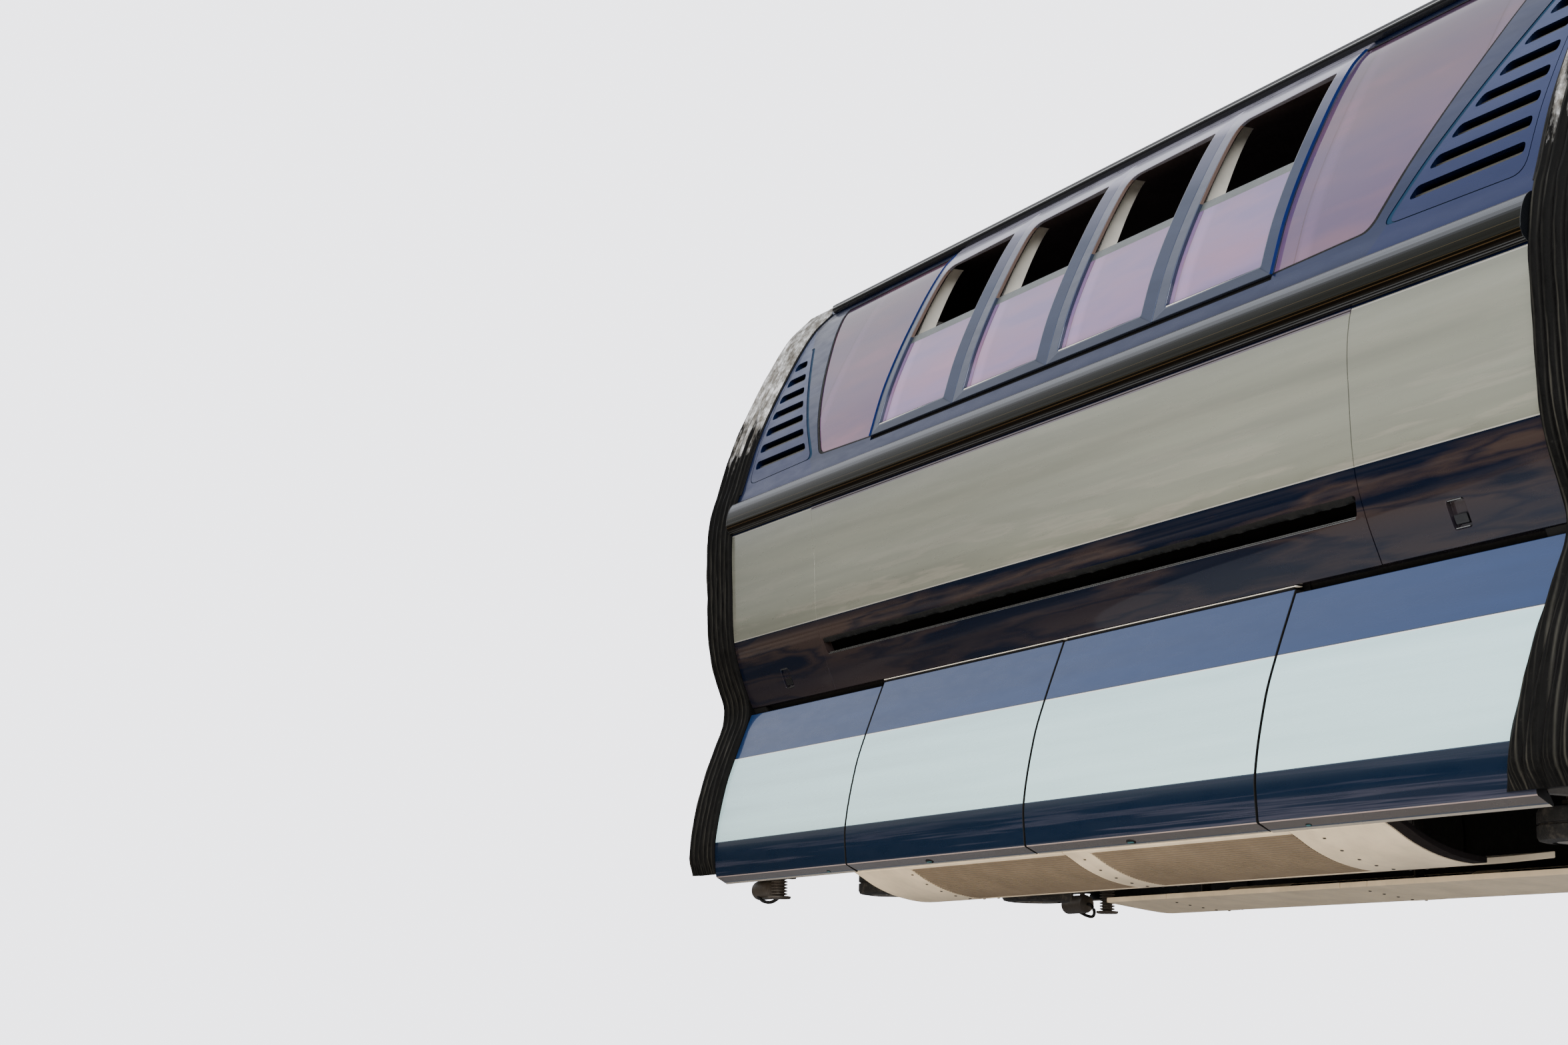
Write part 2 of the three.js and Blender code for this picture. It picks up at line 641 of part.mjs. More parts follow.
for (const [endName, end] of ENDS) {
  const bogie = new THREE.Group();
  bogie.position.set(end * BOGIE_X, 0, 0);
  if (end < 0) bogie.rotation.z = Math.PI;
  car.add(bogie);
  add(`bogie_frame_${endName}`, bogieFrame(), 'steel', bogie);
  add(`load_wheels_${endName}`, loadWheels(), 'rubber', bogie).position.z = TYRE.radius;
  for (const [sideName, side] of SIDES) {
    const ownSide = end < 0 ? -side : side;
    const stabiliser = add(`stabiliser_wheel_${sideName}_${endName}`, sideWheel(), 'rubber', bogie);
    stabiliser.position.set(0, ownSide * WHEEL_Y, STABILISER.z);
    for (const [place, x] of [['inner', -GUIDE.x], ['outer', GUIDE.x]]) {
      const guide = add(`guide_wheel_${sideName}_${endName}_${place}`, sideWheel(), 'rubber', bogie);
      guide.position.set(x, ownSide * WHEEL_Y, GUIDE.z);
    }
  }
}

export default car;
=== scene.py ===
import math
import random

import bmesh
import bpy
from mathutils import Matrix, Vector


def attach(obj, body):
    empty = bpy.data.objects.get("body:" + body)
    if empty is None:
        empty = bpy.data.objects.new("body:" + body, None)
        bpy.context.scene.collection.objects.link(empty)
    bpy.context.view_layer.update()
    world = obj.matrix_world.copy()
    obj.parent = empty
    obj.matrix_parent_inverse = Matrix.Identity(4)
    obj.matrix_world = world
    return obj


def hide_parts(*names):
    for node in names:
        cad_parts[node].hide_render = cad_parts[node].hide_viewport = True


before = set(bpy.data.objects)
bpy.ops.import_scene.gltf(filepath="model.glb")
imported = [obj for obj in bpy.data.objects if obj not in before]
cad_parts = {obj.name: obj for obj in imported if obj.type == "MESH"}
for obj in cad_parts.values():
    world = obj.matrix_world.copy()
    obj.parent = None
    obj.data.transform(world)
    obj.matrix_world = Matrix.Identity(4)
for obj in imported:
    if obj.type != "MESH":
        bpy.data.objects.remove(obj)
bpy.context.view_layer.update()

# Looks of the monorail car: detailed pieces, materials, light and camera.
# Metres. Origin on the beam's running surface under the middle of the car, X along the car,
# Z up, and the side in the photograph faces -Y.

random.seed(7)

# Driving dimensions, the same as in the part's source
BODY_END, BELLOWS_END = 3.250, 3.550
SHELL, FIT, SEAM = 0.045, 0.0003, 0.003
# columns: height, half the width there
SKIRT_LINE = ((-0.805, 1.223), (-0.620, 1.231), (-0.330, 1.180), (-0.155, 1.125), (0.117, 1.024))
BODY_LINE = (
    (0.127, 1.024), (0.305, 1.098), (0.490, 1.148), (0.800, 1.168), (1.080, 1.176), (1.270, 1.150),
    (1.345, 1.126), (1.640, 1.036), (1.980, 0.885), (2.310, 0.700), (2.470, 0.550),
)
SKIRT_BOTTOM, SKIRT_TOP, END_SKIRT_TOP = -0.805, 0.117, 0.095
LIP_Y, LIP_Z = 1.153, -0.835
WAIST = 0.1315
SLOT_LOW, SLOT_HIGH, SLOT_DEPTH, SLOT_END = 0.305, 0.387, 0.070, 2.205
PANEL_TOP = 1.087
GLAZING_LOW, GLAZING_HIGH = 1.345, 2.400
ROOF_SEAT = 2.440
SEAM_X, SEAM_FLARE, SEAM_FLARE_FROM = 2.230, 0.043, 0.830
FRAME_EDGE, DOOR_EDGE = 1.705, 0.862
WINDOW_WIDTH, WINDOW_POST = 0.700, 0.160
WINDOW_LOW, WINDOW_HIGH, SASH_TOP = 1.415, 2.300, 1.907
FRAME_PROUD = 0.024
BOGIE_X, TYRE_RADIUS = 2.650, 0.430
STRIPE_Z = 0.490                  # pearl above, navy below

ENDS = (("left", -1), ("right", 1))
SIDES = (("near", -1), ("far", 1))
WINDOW_CENTRES = [k * (WINDOW_WIDTH + WINDOW_POST) for k in (-1.5, -0.5, 0.5, 1.5)]


# Body section

def follow(line, z):
    i = 0
    while i < len(line) - 2 and z > line[i + 1][0]:
        i += 1

    def slope(k):
        before, after = line[max(k - 1, 0)], line[min(k + 1, len(line) - 1)]
        return (after[1] - before[1]) / (after[0] - before[0])

    (low, start), (high, finish) = line[i], line[i + 1]
    span = high - low
    t = (z - low) / span
    leaving = start * (1 + 2 * t) * (1 - t) ** 2 + slope(i) * span * t * (1 - t) ** 2
    arriving = finish * t * t * (3 - 2 * t) + slope(i + 1) * span * t * t * (t - 1)
    return leaving + arriving


def side_width(z):
    return follow(BODY_LINE, z)


def skirt_width(z):
    return follow(SKIRT_LINE, z)


def steps(start, end, count):
    return [start + (end - start) * i / count for i in range(count + 1)]


def turns(count):
    """Angles of equal steps round a circle."""
    return [2 * math.pi * k / count for k in range(count)]


def heights(low, high, step=0.02):
    inner = [k * step for k in range(math.ceil(low / step), math.floor(high / step) + 1)]
    return [low] + [z for z in inner if low + 0.002 < z < high - 0.002] + [high]


def between(end, start, finish):
    """Span on the right half of the car, or the same span on the left half."""
    return (start, finish) if end > 0 else (-finish, -start)


# Outlines

def curve(start, middle, end, count):
    return [tuple(start[k] * (1 - t) ** 2 + middle[k] * 2 * t * (1 - t) + end[k] * t * t for k in (0, 1))
            for t in steps(0, 1, count)]


def rectangle(x0, x1, z0, z1):
    return [(x0, z0), (x1, z0), (x1, z1), (x0, z1)]


def rounded(points, radii, count=5):
    """Polygon with its corners rounded by quadratic arcs."""
    outline = []
    for i, (corner, radius) in enumerate(zip(points, radii)):
        here = Vector(corner)
        before = Vector(points[i - 1]) - here
        after = Vector(points[(i + 1) % len(points)]) - here
        start = here + before.normalized() * min(radius, before.length * 0.48)
        finish = here + after.normalized() * min(radius, after.length * 0.48)
        for t in steps(0, 1, count):
            point = start * (1 - t) ** 2 + here * 2 * t * (1 - t) + finish * t * t
            outline.append((point.x, point.y))
    return outline


def mirrored(outline):
    return [(-u, v) for u, v in reversed(outline)]


def on_end(outline, end):
    return outline if end > 0 else mirrored(outline)


def both(outlines):
    return outlines + [mirrored(outline) for outline in outlines]


def on_side(section, side):
    """Section in Y and Z on the near or the far side of the car."""
    return [(side * y, z) for y, z in section]


# Mesh tools

def put_in_scene(name, data):
    obj = bpy.data.objects.new(name, data)
    bpy.context.scene.collection.objects.link(obj)
    return obj


def new_object(bm):
    mesh = bpy.data.meshes.new("piece")
    bm.to_mesh(mesh)
    bm.free()
    return put_in_scene("piece", mesh)


def discard(obj):
    mesh = obj.data
    bpy.data.objects.remove(obj)
    bpy.data.meshes.remove(mesh)


def modify(obj, kind, **settings):
    change = obj.modifiers.new(kind.lower(), kind)
    for key, value in settings.items():
        setattr(change, key, value)
    return change


def settle(obj):
    """Applies the modifiers of an object to its mesh."""
    graph = bpy.context.evaluated_depsgraph_get()
    mesh = bpy.data.meshes.new_from_object(obj.evaluated_get(graph))
    obj.modifiers.clear()
    old = obj.data
    obj.data = mesh
    bpy.data.meshes.remove(old)
    return obj


def boolean(obj, tool, operation="DIFFERENCE"):
    modify(obj, "BOOLEAN", operation=operation, solver="MANIFOLD", object=tool)
    settle(obj)
    discard(tool)
    return obj


def bevel(obj, width, angle=35, segments=2):
    modify(obj, "BEVEL", width=width, segments=segments, limit_method="ANGLE",
           angle_limit=math.radians(angle), harden_normals=False)
    return settle(obj)


def smooth(obj, angle=38, weighted=True):
    for polygon in obj.data.polygons:
        polygon.use_smooth = True
    obj.data.set_sharp_from_angle(angle=math.radians(angle))
    if weighted:
        modify(obj, "WEIGHTED_NORMAL", keep_sharp=True, weight=60)
    return obj


def join(objects):
    """One mesh from several, with the materials of each."""
    bm = bmesh.new()
    materials = []
    for obj in objects:
        first = len(bm.faces)
        bm.from_mesh(obj.data)
        bm.faces.ensure_lookup_table()
        for face in bm.faces[first:]:
            face.material_index += len(materials)
        materials += list(obj.data.materials)
        discard(obj)
    joined = new_object(bm)
    for material in materials:
        joined.data.materials.append(material)
    return joined


def lofted(lofts, looped=False, around=True):
    """One mesh from lofts. Each is a list of rings of points, and a ring of one point is a pole.

    Looped lofts go from the last ring back to the first, and open rings get caps along their ends.
    """
    bm = bmesh.new()
    for loft in lofts:
        rings = [[bm.verts.new(point) for point in ring] for ring in loft]
        faces = [] if looped else [rings[0], rings[-1]]
        if not around:
            faces = [[ring[i] for ring in rings] for i in (0, -1)]
        sides = max(len(ring) for ring in rings)
        for one, two in zip(rings, rings[1:] + (rings[:1] if looped else [])):
            for i in range(sides if around else sides - 1):
                start = [ring[i % len(ring)] for ring in (one, two)]
                finish = [ring[(i + 1) % len(ring)] for ring in (one, two)]
                faces.append([start[0], finish[0], finish[1], start[1]])
        for face in faces:
            corners = list(dict.fromkeys(face))
            if len(corners) > 2:
                bm.faces.new(corners)
    bmesh.ops.recalc_face_normals(bm, faces=bm.faces)
    return new_object(bm)


def prism(outlines, place, low, high):
    """Closed outlines drawn out from `low` to `high`; place(u, v, w) gives the point."""
    return lofted([[[place(u, v, w) for u, v in outline] for w in (low, high)] for outline in outlines])


def slab(outlines, low, high):
    """Plate in the flat model: outlines in X and Z, drawn out along the distance from the skin."""
    return prism(outlines, lambda x, z, d: (x, d, z), low, high)


def cut(obj, outlines, low=-0.1, high=0.1, operation="DIFFERENCE"):
    return boolean(obj, slab(outlines, low, high), operation)


def bar(section, x0, x1):
    """Section in Y and Z, drawn out along X."""
    return prism([section], lambda y, z, x: (x, y, z), x0, x1)


def block(x0, x1, y0, y1, z0, z1, soften=0.006):
    """Box with softened edges; the limits of a pair may come in either order."""
    (x0, x1), (y0, y1), (z0, z1) = sorted((x0, x1)), sorted((y0, y1)), sorted((z0, z1))
    obj = prism([rectangle(x0, x1, y0, y1)], lambda x, y, z: (x, y, z), z0, z1)
    return bevel(obj, soften) if soften else obj


def turned(profile, sides, axis="Z", centre=(0, 0, 0)):
    """Closed ring or solid turned about an axis from (radius, place along the axis) points."""
    rings = [[(radius * math.cos(a), radius * math.sin(a), along) for a in turns(sides if radius else 1)]
             for radius, along in profile]
    obj = lofted([rings], looped=len(rings[0]) > 1 and len(rings[-1]) > 1)
    turn = {"X": Matrix.Rotation(math.pi / 2, 4, "Y"), "Y": Matrix.Rotation(-math.pi / 2, 4, "X"),
            "Z": Matrix.Identity(4)}[axis]
    obj.data.transform(Matrix.Translation(centre) @ turn)
    return obj


def tube(points, radius, sides=10):
    """Round pipe along a list of points, closed at both ends."""
    path = [Vector(p) for p in points]
    rings = []
    for i, point in enumerate(path):
        run = (path[min(i + 1, len(path) - 1)] - path[max(i - 1, 0)]).normalized()
        across = run.cross(Vector((0, 0, 1)) if abs(run.z) < 0.9 else Vector((1, 0, 0))).normalized()
        up = across.cross(run)
        rings.append([point + (across * math.cos(a) + up * math.sin(a)) * radius for a in turns(sides)])
    return lofted([rings])


def smooth_path(points, per_span):
    """Rounded path through points."""
    ends = [points[0]] + list(points) + [points[-1]]
    path = []
    for i in range(len(points) - 1):
        a, b, c, d = (Vector(ends[i + k]) for k in range(4))
        for t in steps(0, 1, per_span)[:-1]:
            path.append(0.5 * ((2 * b) + (c - a) * t + (2 * a - 5 * b + 4 * c - d) * t * t
                               + (3 * b - a - 3 * c + d) * t ** 3))
    return path + [Vector(points[-1])]


def sliced(obj, axis, step, place, side):
    """Slices a flat piece many times across an axis and moves its points to where place(x, y, z) says."""
    bm = bmesh.new()
    bm.from_mesh(obj.data)
    normal = [float(k == axis) for k in range(3)]
    spots = [v.co[axis] for v in bm.verts]
    for spot in heights(min(spots), max(spots), step)[1:-1]:
        bmesh.ops.bisect_plane(bm, geom=bm.verts[:] + bm.edges[:] + bm.faces[:],
                               plane_co=[spot * k for k in normal], plane_no=normal, dist=1e-5)
    for vert in bm.verts:
        vert.co = place(*vert.co)
    if side < 0:
        bmesh.ops.reverse_faces(bm, faces=bm.faces)
    bm.to_mesh(obj.data)
    bm.free()
    return obj


def bend(obj, side):
    """Lays a piece of the flat model on the body's curved skin."""
    return sliced(obj, 2, 0.02, lambda x, d, z: (x, side * (side_width(z) + d), z), side)


def tidy(obj):
    bm = bmesh.new()
    bm.from_mesh(obj.data)
    bmesh.ops.remove_doubles(bm, verts=bm.verts, dist=1e-5)
    bmesh.ops.dissolve_limit(bm, angle_limit=math.radians(0.3), verts=bm.verts, edges=bm.edges)
    bm.to_mesh(obj.data)
    bm.free()
    return obj


def piece(obj, name, look=None, body="car_body", replaces=(), slot=None):
    """Names a piece, gives it its finish and says which body carries it."""
    finish, usual_slot = LOOKS[look]
    obj.name = name
    obj.data.name = name
    if finish:
        obj.data.materials.clear()
        obj.data.materials.append(finish)
    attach(obj, body)
    slot or usual_slot
    if replaces:
        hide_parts(*replaces)
    return obj


def first_only(number, *nodes):
    """The first of several pieces takes the place of the CAD nodes, the others of none."""
    return () if number else nodes


def repaint(obj, look, chosen):
    """Second finish on the chosen faces of a finished piece."""
    obj.data.materials.append(LOOKS[look][0])
    for polygon in obj.data.polygons:
        if chosen(polygon):
            polygon.material_index = 1


def panel(name, side, look, flat, soften=0.003, replaces=()):
    """Finishes a plate of the flat model: softened edges, bent to the section, smooth."""
    bend(bevel(tidy(flat), soften), side)
    return piece(smooth(flat), name, look, replaces=replaces)


def strip(name, side, look, x0, x1, z0, z1, low, high, soften=0.001, replaces=()):
    """Plain strip of the flat model, finished."""
    return panel(name, side, look, slab([rectangle(x0, x1, z0, z1)], low, high), soften, replaces)


def rail(name, look, section, x0, x1, soften=0, corner=60, sharp=40, **facts):
    """Section in Y and Z drawn out along X, its edges softened, finished."""
    obj = bar(section, x0, x1)
    if soften:
        bevel(obj, soften, corner)
    return piece(smooth(obj, sharp), name, look, **facts)


# Materials

def material(name):
    made = bpy.data.materials.new(name)
    made.use_nodes = True
    return made, made.node_tree, made.node_tree.nodes["Principled BSDF"]


def put(tree, node, values):
    """Feeds each input of a node from another node's output, or sets it to a number or colour."""
    for key, value in values.items():
        socket = node.inputs[key]
        if hasattr(value, "is_linked"):
            tree.links.new(value, socket)
        else:
            socket.default_value = (*value, 1) if socket.type == "RGBA" else value
    return node


def add(tree, kind, **inputs):
    return put(tree, tree.nodes.new(kind), inputs)


def place_on(tree, stretch, space="Object"):
    """Place on the object, stretched; small in X means long streaks along the car."""
    place = tree.nodes.new("ShaderNodeTexCoord").outputs[space]
    return add(tree, "ShaderNodeMapping", Vector=place, Scale=stretch).outputs["Vector"]


def noise(tree, stretch, scale, detail=4, roughness=0.55, space="Object"):
    return add(tree, "ShaderNodeTexNoise", Vector=place_on(tree, stretch, space), Scale=scale, Detail=detail,
               Roughness=roughness).outputs["Fac"]


def ramp(tree, value, stops, interpolation="LINEAR"):
    """Colour ramp from (place, colour) stops; a plain number is a grey."""
    node = add(tree, "ShaderNodeValToRGB", Fac=value)
    node.color_ramp.interpolation = interpolation
    elements = node.color_ramp.elements
    elements.remove(elements[-1])
    for number, (position, colour) in enumerate(stops):
        element = elements.new(position) if number else elements[0]
        element.position = position
        element.color = (*(colour if isinstance(colour, tuple) else (colour,) * 3), 1)
    return node.outputs["Color"]


def mix(tree, factor, one, two, blend="MIX"):
    node = tree.nodes.new("ShaderNodeMix")
    node.data_type = "RGBA"
    node.blend_type = blend
    return put(tree, node, {0: factor, 6: one, 7: two}).outputs[2]


def times(tree, one, two):
    return mix(tree, 1.0, one, two, "MULTIPLY")


def maths(tree, operation, *values):
    node = tree.nodes.new("ShaderNodeMath")
    node.operation = operation
    return put(tree, node, dict(enumerate(values))).outputs[0]


def split_place(tree, space="Object"):
    place = tree.nodes.new("ShaderNodeTexCoord").outputs[space]
    return add(tree, "ShaderNodeSeparateXYZ", Vector=place).outputs


def share_of(tree, value, low, high):
    """0 at `low` and below, 1 at `high` and above."""
    node = tree.nodes.new("ShaderNodeMapRange")
    return put(tree, node, {"Value": value, "From Min": low, "From Max": high}).outputs["Result"]


def height_of(tree, low, high, space="Object"):
    return share_of(tree, split_place(tree, space)["Z"], low, high)


def bump(tree, value, strength, distance):
    return add(tree, "ShaderNodeBump", Height=value, Strength=strength, Distance=distance).outputs["Normal"]


def bands_of(tree, bands, low, high, interpolation="CONSTANT", space="Object"):
    """Colours that start at given heights."""
    stops = [((z - low) / (high - low), colour) for z, colour in bands]
    return ramp(tree, height_of(tree, low, high, space), stops, interpolation)


def banded_paint(name, slot, bands, low, high, metallic, rough=0.30, streaks=0.10, coat=1.0, film=None,
                 interpolation="CONSTANT"):
    """Lacquered paint banded at given heights, with long streaks of painted reflection and patchy roughness.
    """
    made, tree, shader = material(name)
    # Painted reflection: long soft streaks that lighten and darken the colour.
    streak = noise(tree, (0.30, 1, 8), 1.5, 2.2)
    tint = ramp(tree, streak, [(0.30, 1 - streaks), (0.72, 1 + streaks * 0.6)])
    base = times(tree, bands_of(tree, bands, low, high, interpolation), tint)
    if film:
        base = film(tree, base)
    worn = ramp(tree, noise(tree, (1, 1, 4), 6, 2), [(0.3, rough * 0.8), (0.75, rough * 1.35)])
    put(tree, shader, {"Base Color": base, "Metallic": metallic, "Roughness": worn, "Coat Weight": coat,
                       "Coat Roughness": 0.035, "Coat IOR": 1.5, "Specular IOR Level": 0.08,
                       "Normal": bump(tree, noise(tree, (0.5, 1, 1.6), 2.2, 1.0), 0.10, 0.02)})
    return made, slot


def along_car(tree, left, right):
    """Grey that runs evenly from one end of the body to the other; it paints light that changes along the
    car.
    """
    reach = share_of(tree, split_place(tree)["X"], -BODY_END, BODY_END)
    return ramp(tree, reach, [(0.0, left), (1.0, right)])


def painted_stripe_reflections(tree, base):
    """Painted reflection: wavy brown below the stripe, pale just above it, in long streaks along the car."""
    low = ramp(tree, height_of(tree, 0.0, 1.0), [(0.13, 0.4), (0.22, 0.25), (0.30, 0.55), (0.44, 0.8),
                                                 (0.482, 0.3), (0.484, 0.0)])
    drift = noise(tree, (0.40, 1, 4.6), 1.7, 5, 0.50)
    brown = ramp(tree, drift, [(0.42, 0.0), (0.50, 0.75), (0.55, 0.20), (0.60, 0.9)])
    base = mix(tree, times(tree, brown, low), base, (0.080, 0.054, 0.043))
    high = ramp(tree, height_of(tree, 0.0, 1.0), [(0.492, 0.0), (0.494, 0.5), (0.62, 0.25), (0.80, 0.08)])
    pale = ramp(tree, noise(tree, (0.5, 1, 7), 2.4, 6), [(0.50, 0.0), (0.58, 0.8), (0.64, 0.3)])
    base = mix(tree, times(tree, pale, high), base, (0.50, 0.46, 0.40))
    # Painted light: the paint grows brighter from the left end of the body to the right end.
    return times(tree, base, along_car(tree, 0.86, 1.08))


def painted_skirt_reflections(tree, base):
    """Pale wavy streaks of painted reflection low on the navy stripe of the skirts."""
    low = ramp(tree, height_of(tree, -0.90, 0.20), [(0.085, 0.0), (0.095, 0.9), (0.17, 0.55), (0.24, 0.2),
                                                    (0.25, 0.0)])
    ripple = noise(tree, (0.24, 1, 19), 2.0, 5, 0.5)
    pale = ramp(tree, ripple, [(0.50, 0.0), (0.57, 0.8), (0.62, 0.15), (0.68, 0.7)])
    return mix(tree, times(tree, pale, low), base, (0.060, 0.062, 0.095))


def louvre_film(tree, base):
    """Deep blue on the louvre panels, beyond their rake, darker towards the foot."""
    x, _, z = split_place(tree)
    rake = maths(tree, "MULTIPLY_ADD", z, LOUVRE_RAKE, LOUVRE_FOOT - LOUVRE_RAKE * LOUVRE_BASE)
    past = maths(tree, "SUBTRACT", maths(tree, "ABSOLUTE", x), rake)
    blue = ramp(tree, height_of(tree, 1.35, 2.20),
                [(0.0, (0.004, 0.016, 0.085)), (0.5, (0.008, 0.026, 0.115)), (1.0, (0.022, 0.050, 0.150))])
    return mix(tree, share_of(tree, past, -0.004, 0.010), base, blue)


def plain(name, slot, colour, rough, metallic=0.0, grain=60, relief=0.12, dust=0.2, coat=0.0, shine=0.5):
    """Plain finish with mottling, fine grain and dust."""
    made, tree, shader = material(name)
    base = times(tree, colour, ramp(tree, noise(tree, (1, 1, 1), 5, 6), [(0.3, 0.85), (0.75, 1.15)]))
    dusty = ramp(tree, noise(tree, (1, 1, 1), 21, 6, 0.7), [(0.5, 0.0), (0.9, dust)])
    fine = noise(tree, (1, 1, 1), grain)
    put(tree, shader, {"Base Color": mix(tree, dusty, base, (0.24, 0.22, 0.19)), "Metallic": metallic,
                       "Specular IOR Level": shine, "Coat Weight": coat, "Coat Roughness": 0.08,
                       "Roughness": ramp(tree, fine, [(0.3, rough * 0.85), (0.8, min(rough * 1.2, 1))]),
                       "Normal": bump(tree, fine, relief, 0.004)})
    return made, slot


def rubber_of_bellows():
    """Black folded rubber: paler worn crests; high up silvery dust and painted highlight with white glints.
    """
    made, tree, shader = material("bellows_rubber")
    fold = noise(tree, (1, 1, 1), 24, 7, 0.7)
    black = ramp(tree, fold, [(0.35, 0.002), (0.62, 0.005), (0.80, (0.022, 0.022, 0.020))])
    pitch = (BELLOWS_END - BODY_END) / FOLDS
    x = maths(tree, "ABSOLUTE", split_place(tree)["X"])
    along = maths(tree, "FRACT", maths(tree, "MULTIPLY_ADD", x, 1 / pitch, -BODY_END / pitch))
    line = ramp(tree, along, [(0.10, 0.0), (0.16, 0.30), (0.22, 0.0), (0.40, 0.0), (0.50, 1.0), (0.60, 0.0),
                              (0.80, 0.0), (0.86, 0.4), (0.92, 0.0)])
    rubbed = ramp(tree, noise(tree, (1, 1, 0.25), 9, 6), [(0.40, 0.1), (0.65, 1.0)])
    black = mix(tree, times(tree, line, rubbed), black, (0.050, 0.049, 0.042))
    # Silvery to white wrinkles, strongest high up: partly dust, partly painted highlight and glints.
    worn = ramp(tree, noise(tree, (2.2, 1, 1), 13, 8, 0.72),
                [(0.34, (0.10, 0.09, 0.075)), (0.46, (0.26, 0.25, 0.23)), (0.54, (0.46, 0.46, 0.45)),
                 (0.62, (0.84, 0.84, 0.86))])
    patch = maths(tree, "MULTIPLY_ADD", noise(tree, (3.5, 1, 0.45), 4, 6, 0.65), 2.6, -1.95)
    reach = maths(tree, "MULTIPLY_ADD", height_of(tree, 1.20, 2.30), 1.7, patch)
    share = ramp(tree, reach, [(0.05, 0.0), (0.35, 1.0)])
    put(tree, shader, {"Base Color": mix(tree, share, black, worn), "Specular IOR Level": 0.06,
                       "Roughness": ramp(tree, fold, [(0.3, 0.45), (0.8, 0.75)]),
                       "Normal": bump(tree, noise(tree, (2.5, 1, 0.7), 30, 6, 0.65), 0.45, 0.006)})
    return made, "bellows_rubber"


def tinted_glass(name, tints, coat):
    """Lilac glass with a painted highlight stripe and a thin brown line near the left of each window."""
    made, tree, shader = material(name)
    tint = ramp(tree, noise(tree, (0.8, 0.6, 4.5), 1.1, 3), list(zip((0.34, 0.45, 0.56, 0.68), tints)))
    low = ramp(tree, height_of(tree, 1.35, 2.35), [(0.0, 1.05), (0.45, 1.0), (1.0, 0.6)])
    pitch = WINDOW_WIDTH + WINDOW_POST
    along = maths(tree, "FRACT", maths(tree, "MULTIPLY_ADD", split_place(tree)["X"], 1 / pitch, 2.0))
    # Painted highlight: a soft light stripe near the left of each window, after a thin brown line.
    stripe = ramp(tree, along, [(0.125, 1.0), (0.130, (0.60, 0.42, 0.36)), (0.138, 1.0), (0.165, 1.25),
                                (0.215, 1.22), (0.260, 1.0)])
    # Painted sheen: the glass is brighter towards the left end of the car.
    tint = times(tree, times(tree, tint, low), along_car(tree, 1.10, 0.84))
    put(tree, shader, {"Base Color": times(tree, tint, stripe), "Roughness": 0.06, "IOR": 1.5, "Alpha": 0.86,
                       "Coat Weight": coat, "Coat Roughness": 0.02,
                       "Normal": bump(tree, noise(tree, (1, 1, 1), 3, 1), 0.05, 0.01)})
    return made, "tinted_glass"


def moulding_metal():
    """Dark bright-metal moulding: painted grey sky reflection above, olive black, bronze lines, brown-black
    below.
    """
    made, tree, shader = material("moulding_metal")
    # columns: height the band starts at, colour
    bands = [
        (1.080, 0.004), (1.097, 0.14), (1.100, (0.006, 0.005, 0.005)), (1.104, 0.11),
        (1.107, (0.012, 0.009, 0.006)), (1.124, (0.16, 0.10, 0.045)), (1.127, (0.012, 0.010, 0.006)),
        (1.136, (0.12, 0.08, 0.035)), (1.138, (0.012, 0.012, 0.008)), (1.172, (0.10, 0.075, 0.035)),
        # From 1.214 m to 1.262 m the grey bands are a painted sky reflection on the upper face.
        (1.174, (0.012, 0.013, 0.010)), (1.205, (0.028, 0.030, 0.031)), (1.214, (0.090, 0.096, 0.104)),
        (1.232, (0.140, 0.152, 0.168)), (1.262, (0.020, 0.017, 0.012)),
    ]
    grain = noise(tree, (0.1, 1, 14), 12, 5)
    base = times(tree, bands_of(tree, bands, 1.08, 1.29), ramp(tree, grain, [(0.3, 0.75), (0.75, 1.2)]))
    put(tree, shader, {"Base Color": base, "Metallic": 0.8, "Specular IOR Level": 0.15,
                       "Roughness": ramp(tree, grain, [(0.3, 0.2), (0.8, 0.38)]),
                       "Normal": bump(tree, grain, 0.05, 0.003)})
    return made, "dark_trim"


def seat_fabric():
    made, tree, shader = material("seat_fabric")
    weave = add(tree, "ShaderNodeTexBrick", Vector=place_on(tree, (60, 60, 60)), Scale=1.0)
    put(tree, weave, {"Color1": (0.030, 0.060, 0.150), "Color2": (0.040, 0.075, 0.180),
                      "Mortar": (0.015, 0.030, 0.080), "Mortar Size": 0.06})
    wear = ramp(tree, noise(tree, (1, 1, 1), 4, 5), [(0.35, 0.85), (0.7, 1.25)])
    put(tree, shader, {"Base Color": times(tree, weave.outputs["Color"], wear), "Roughness": 0.85,
                       "Sheen Weight": 0.4, "Normal": bump(tree, weave.outputs["Fac"], 0.4, 0.002)})
    return made, "seat_fabric"


# EDGE_HIGHLIGHT is a painted highlight: the thin bright line at the top of the navy stripe and at the top of
# the end panels.
NAVY, PEARL, EDGE_HIGHLIGHT = (0.0030, 0.0070, 0.022), (0.272, 0.286, 0.240), (0.55, 0.55, 0.50)
FRAME_GREY, THIN_LINE, PALE_EDGE = (0.045, 0.060, 0.105), (0.015, 0.030, 0.060), (0.90, 0.93, 0.93)
LOUVRE_FOOT, LOUVRE_BASE, LOUVRE_RAKE = 2.411, 1.385, 0.84
FOLDS = 5
# columns: height the band starts at, colour
STRIPE_BANDS = [(0.0, NAVY), (STRIPE_Z - 0.004, EDGE_HIGHLIGHT), (STRIPE_Z, PEARL)]
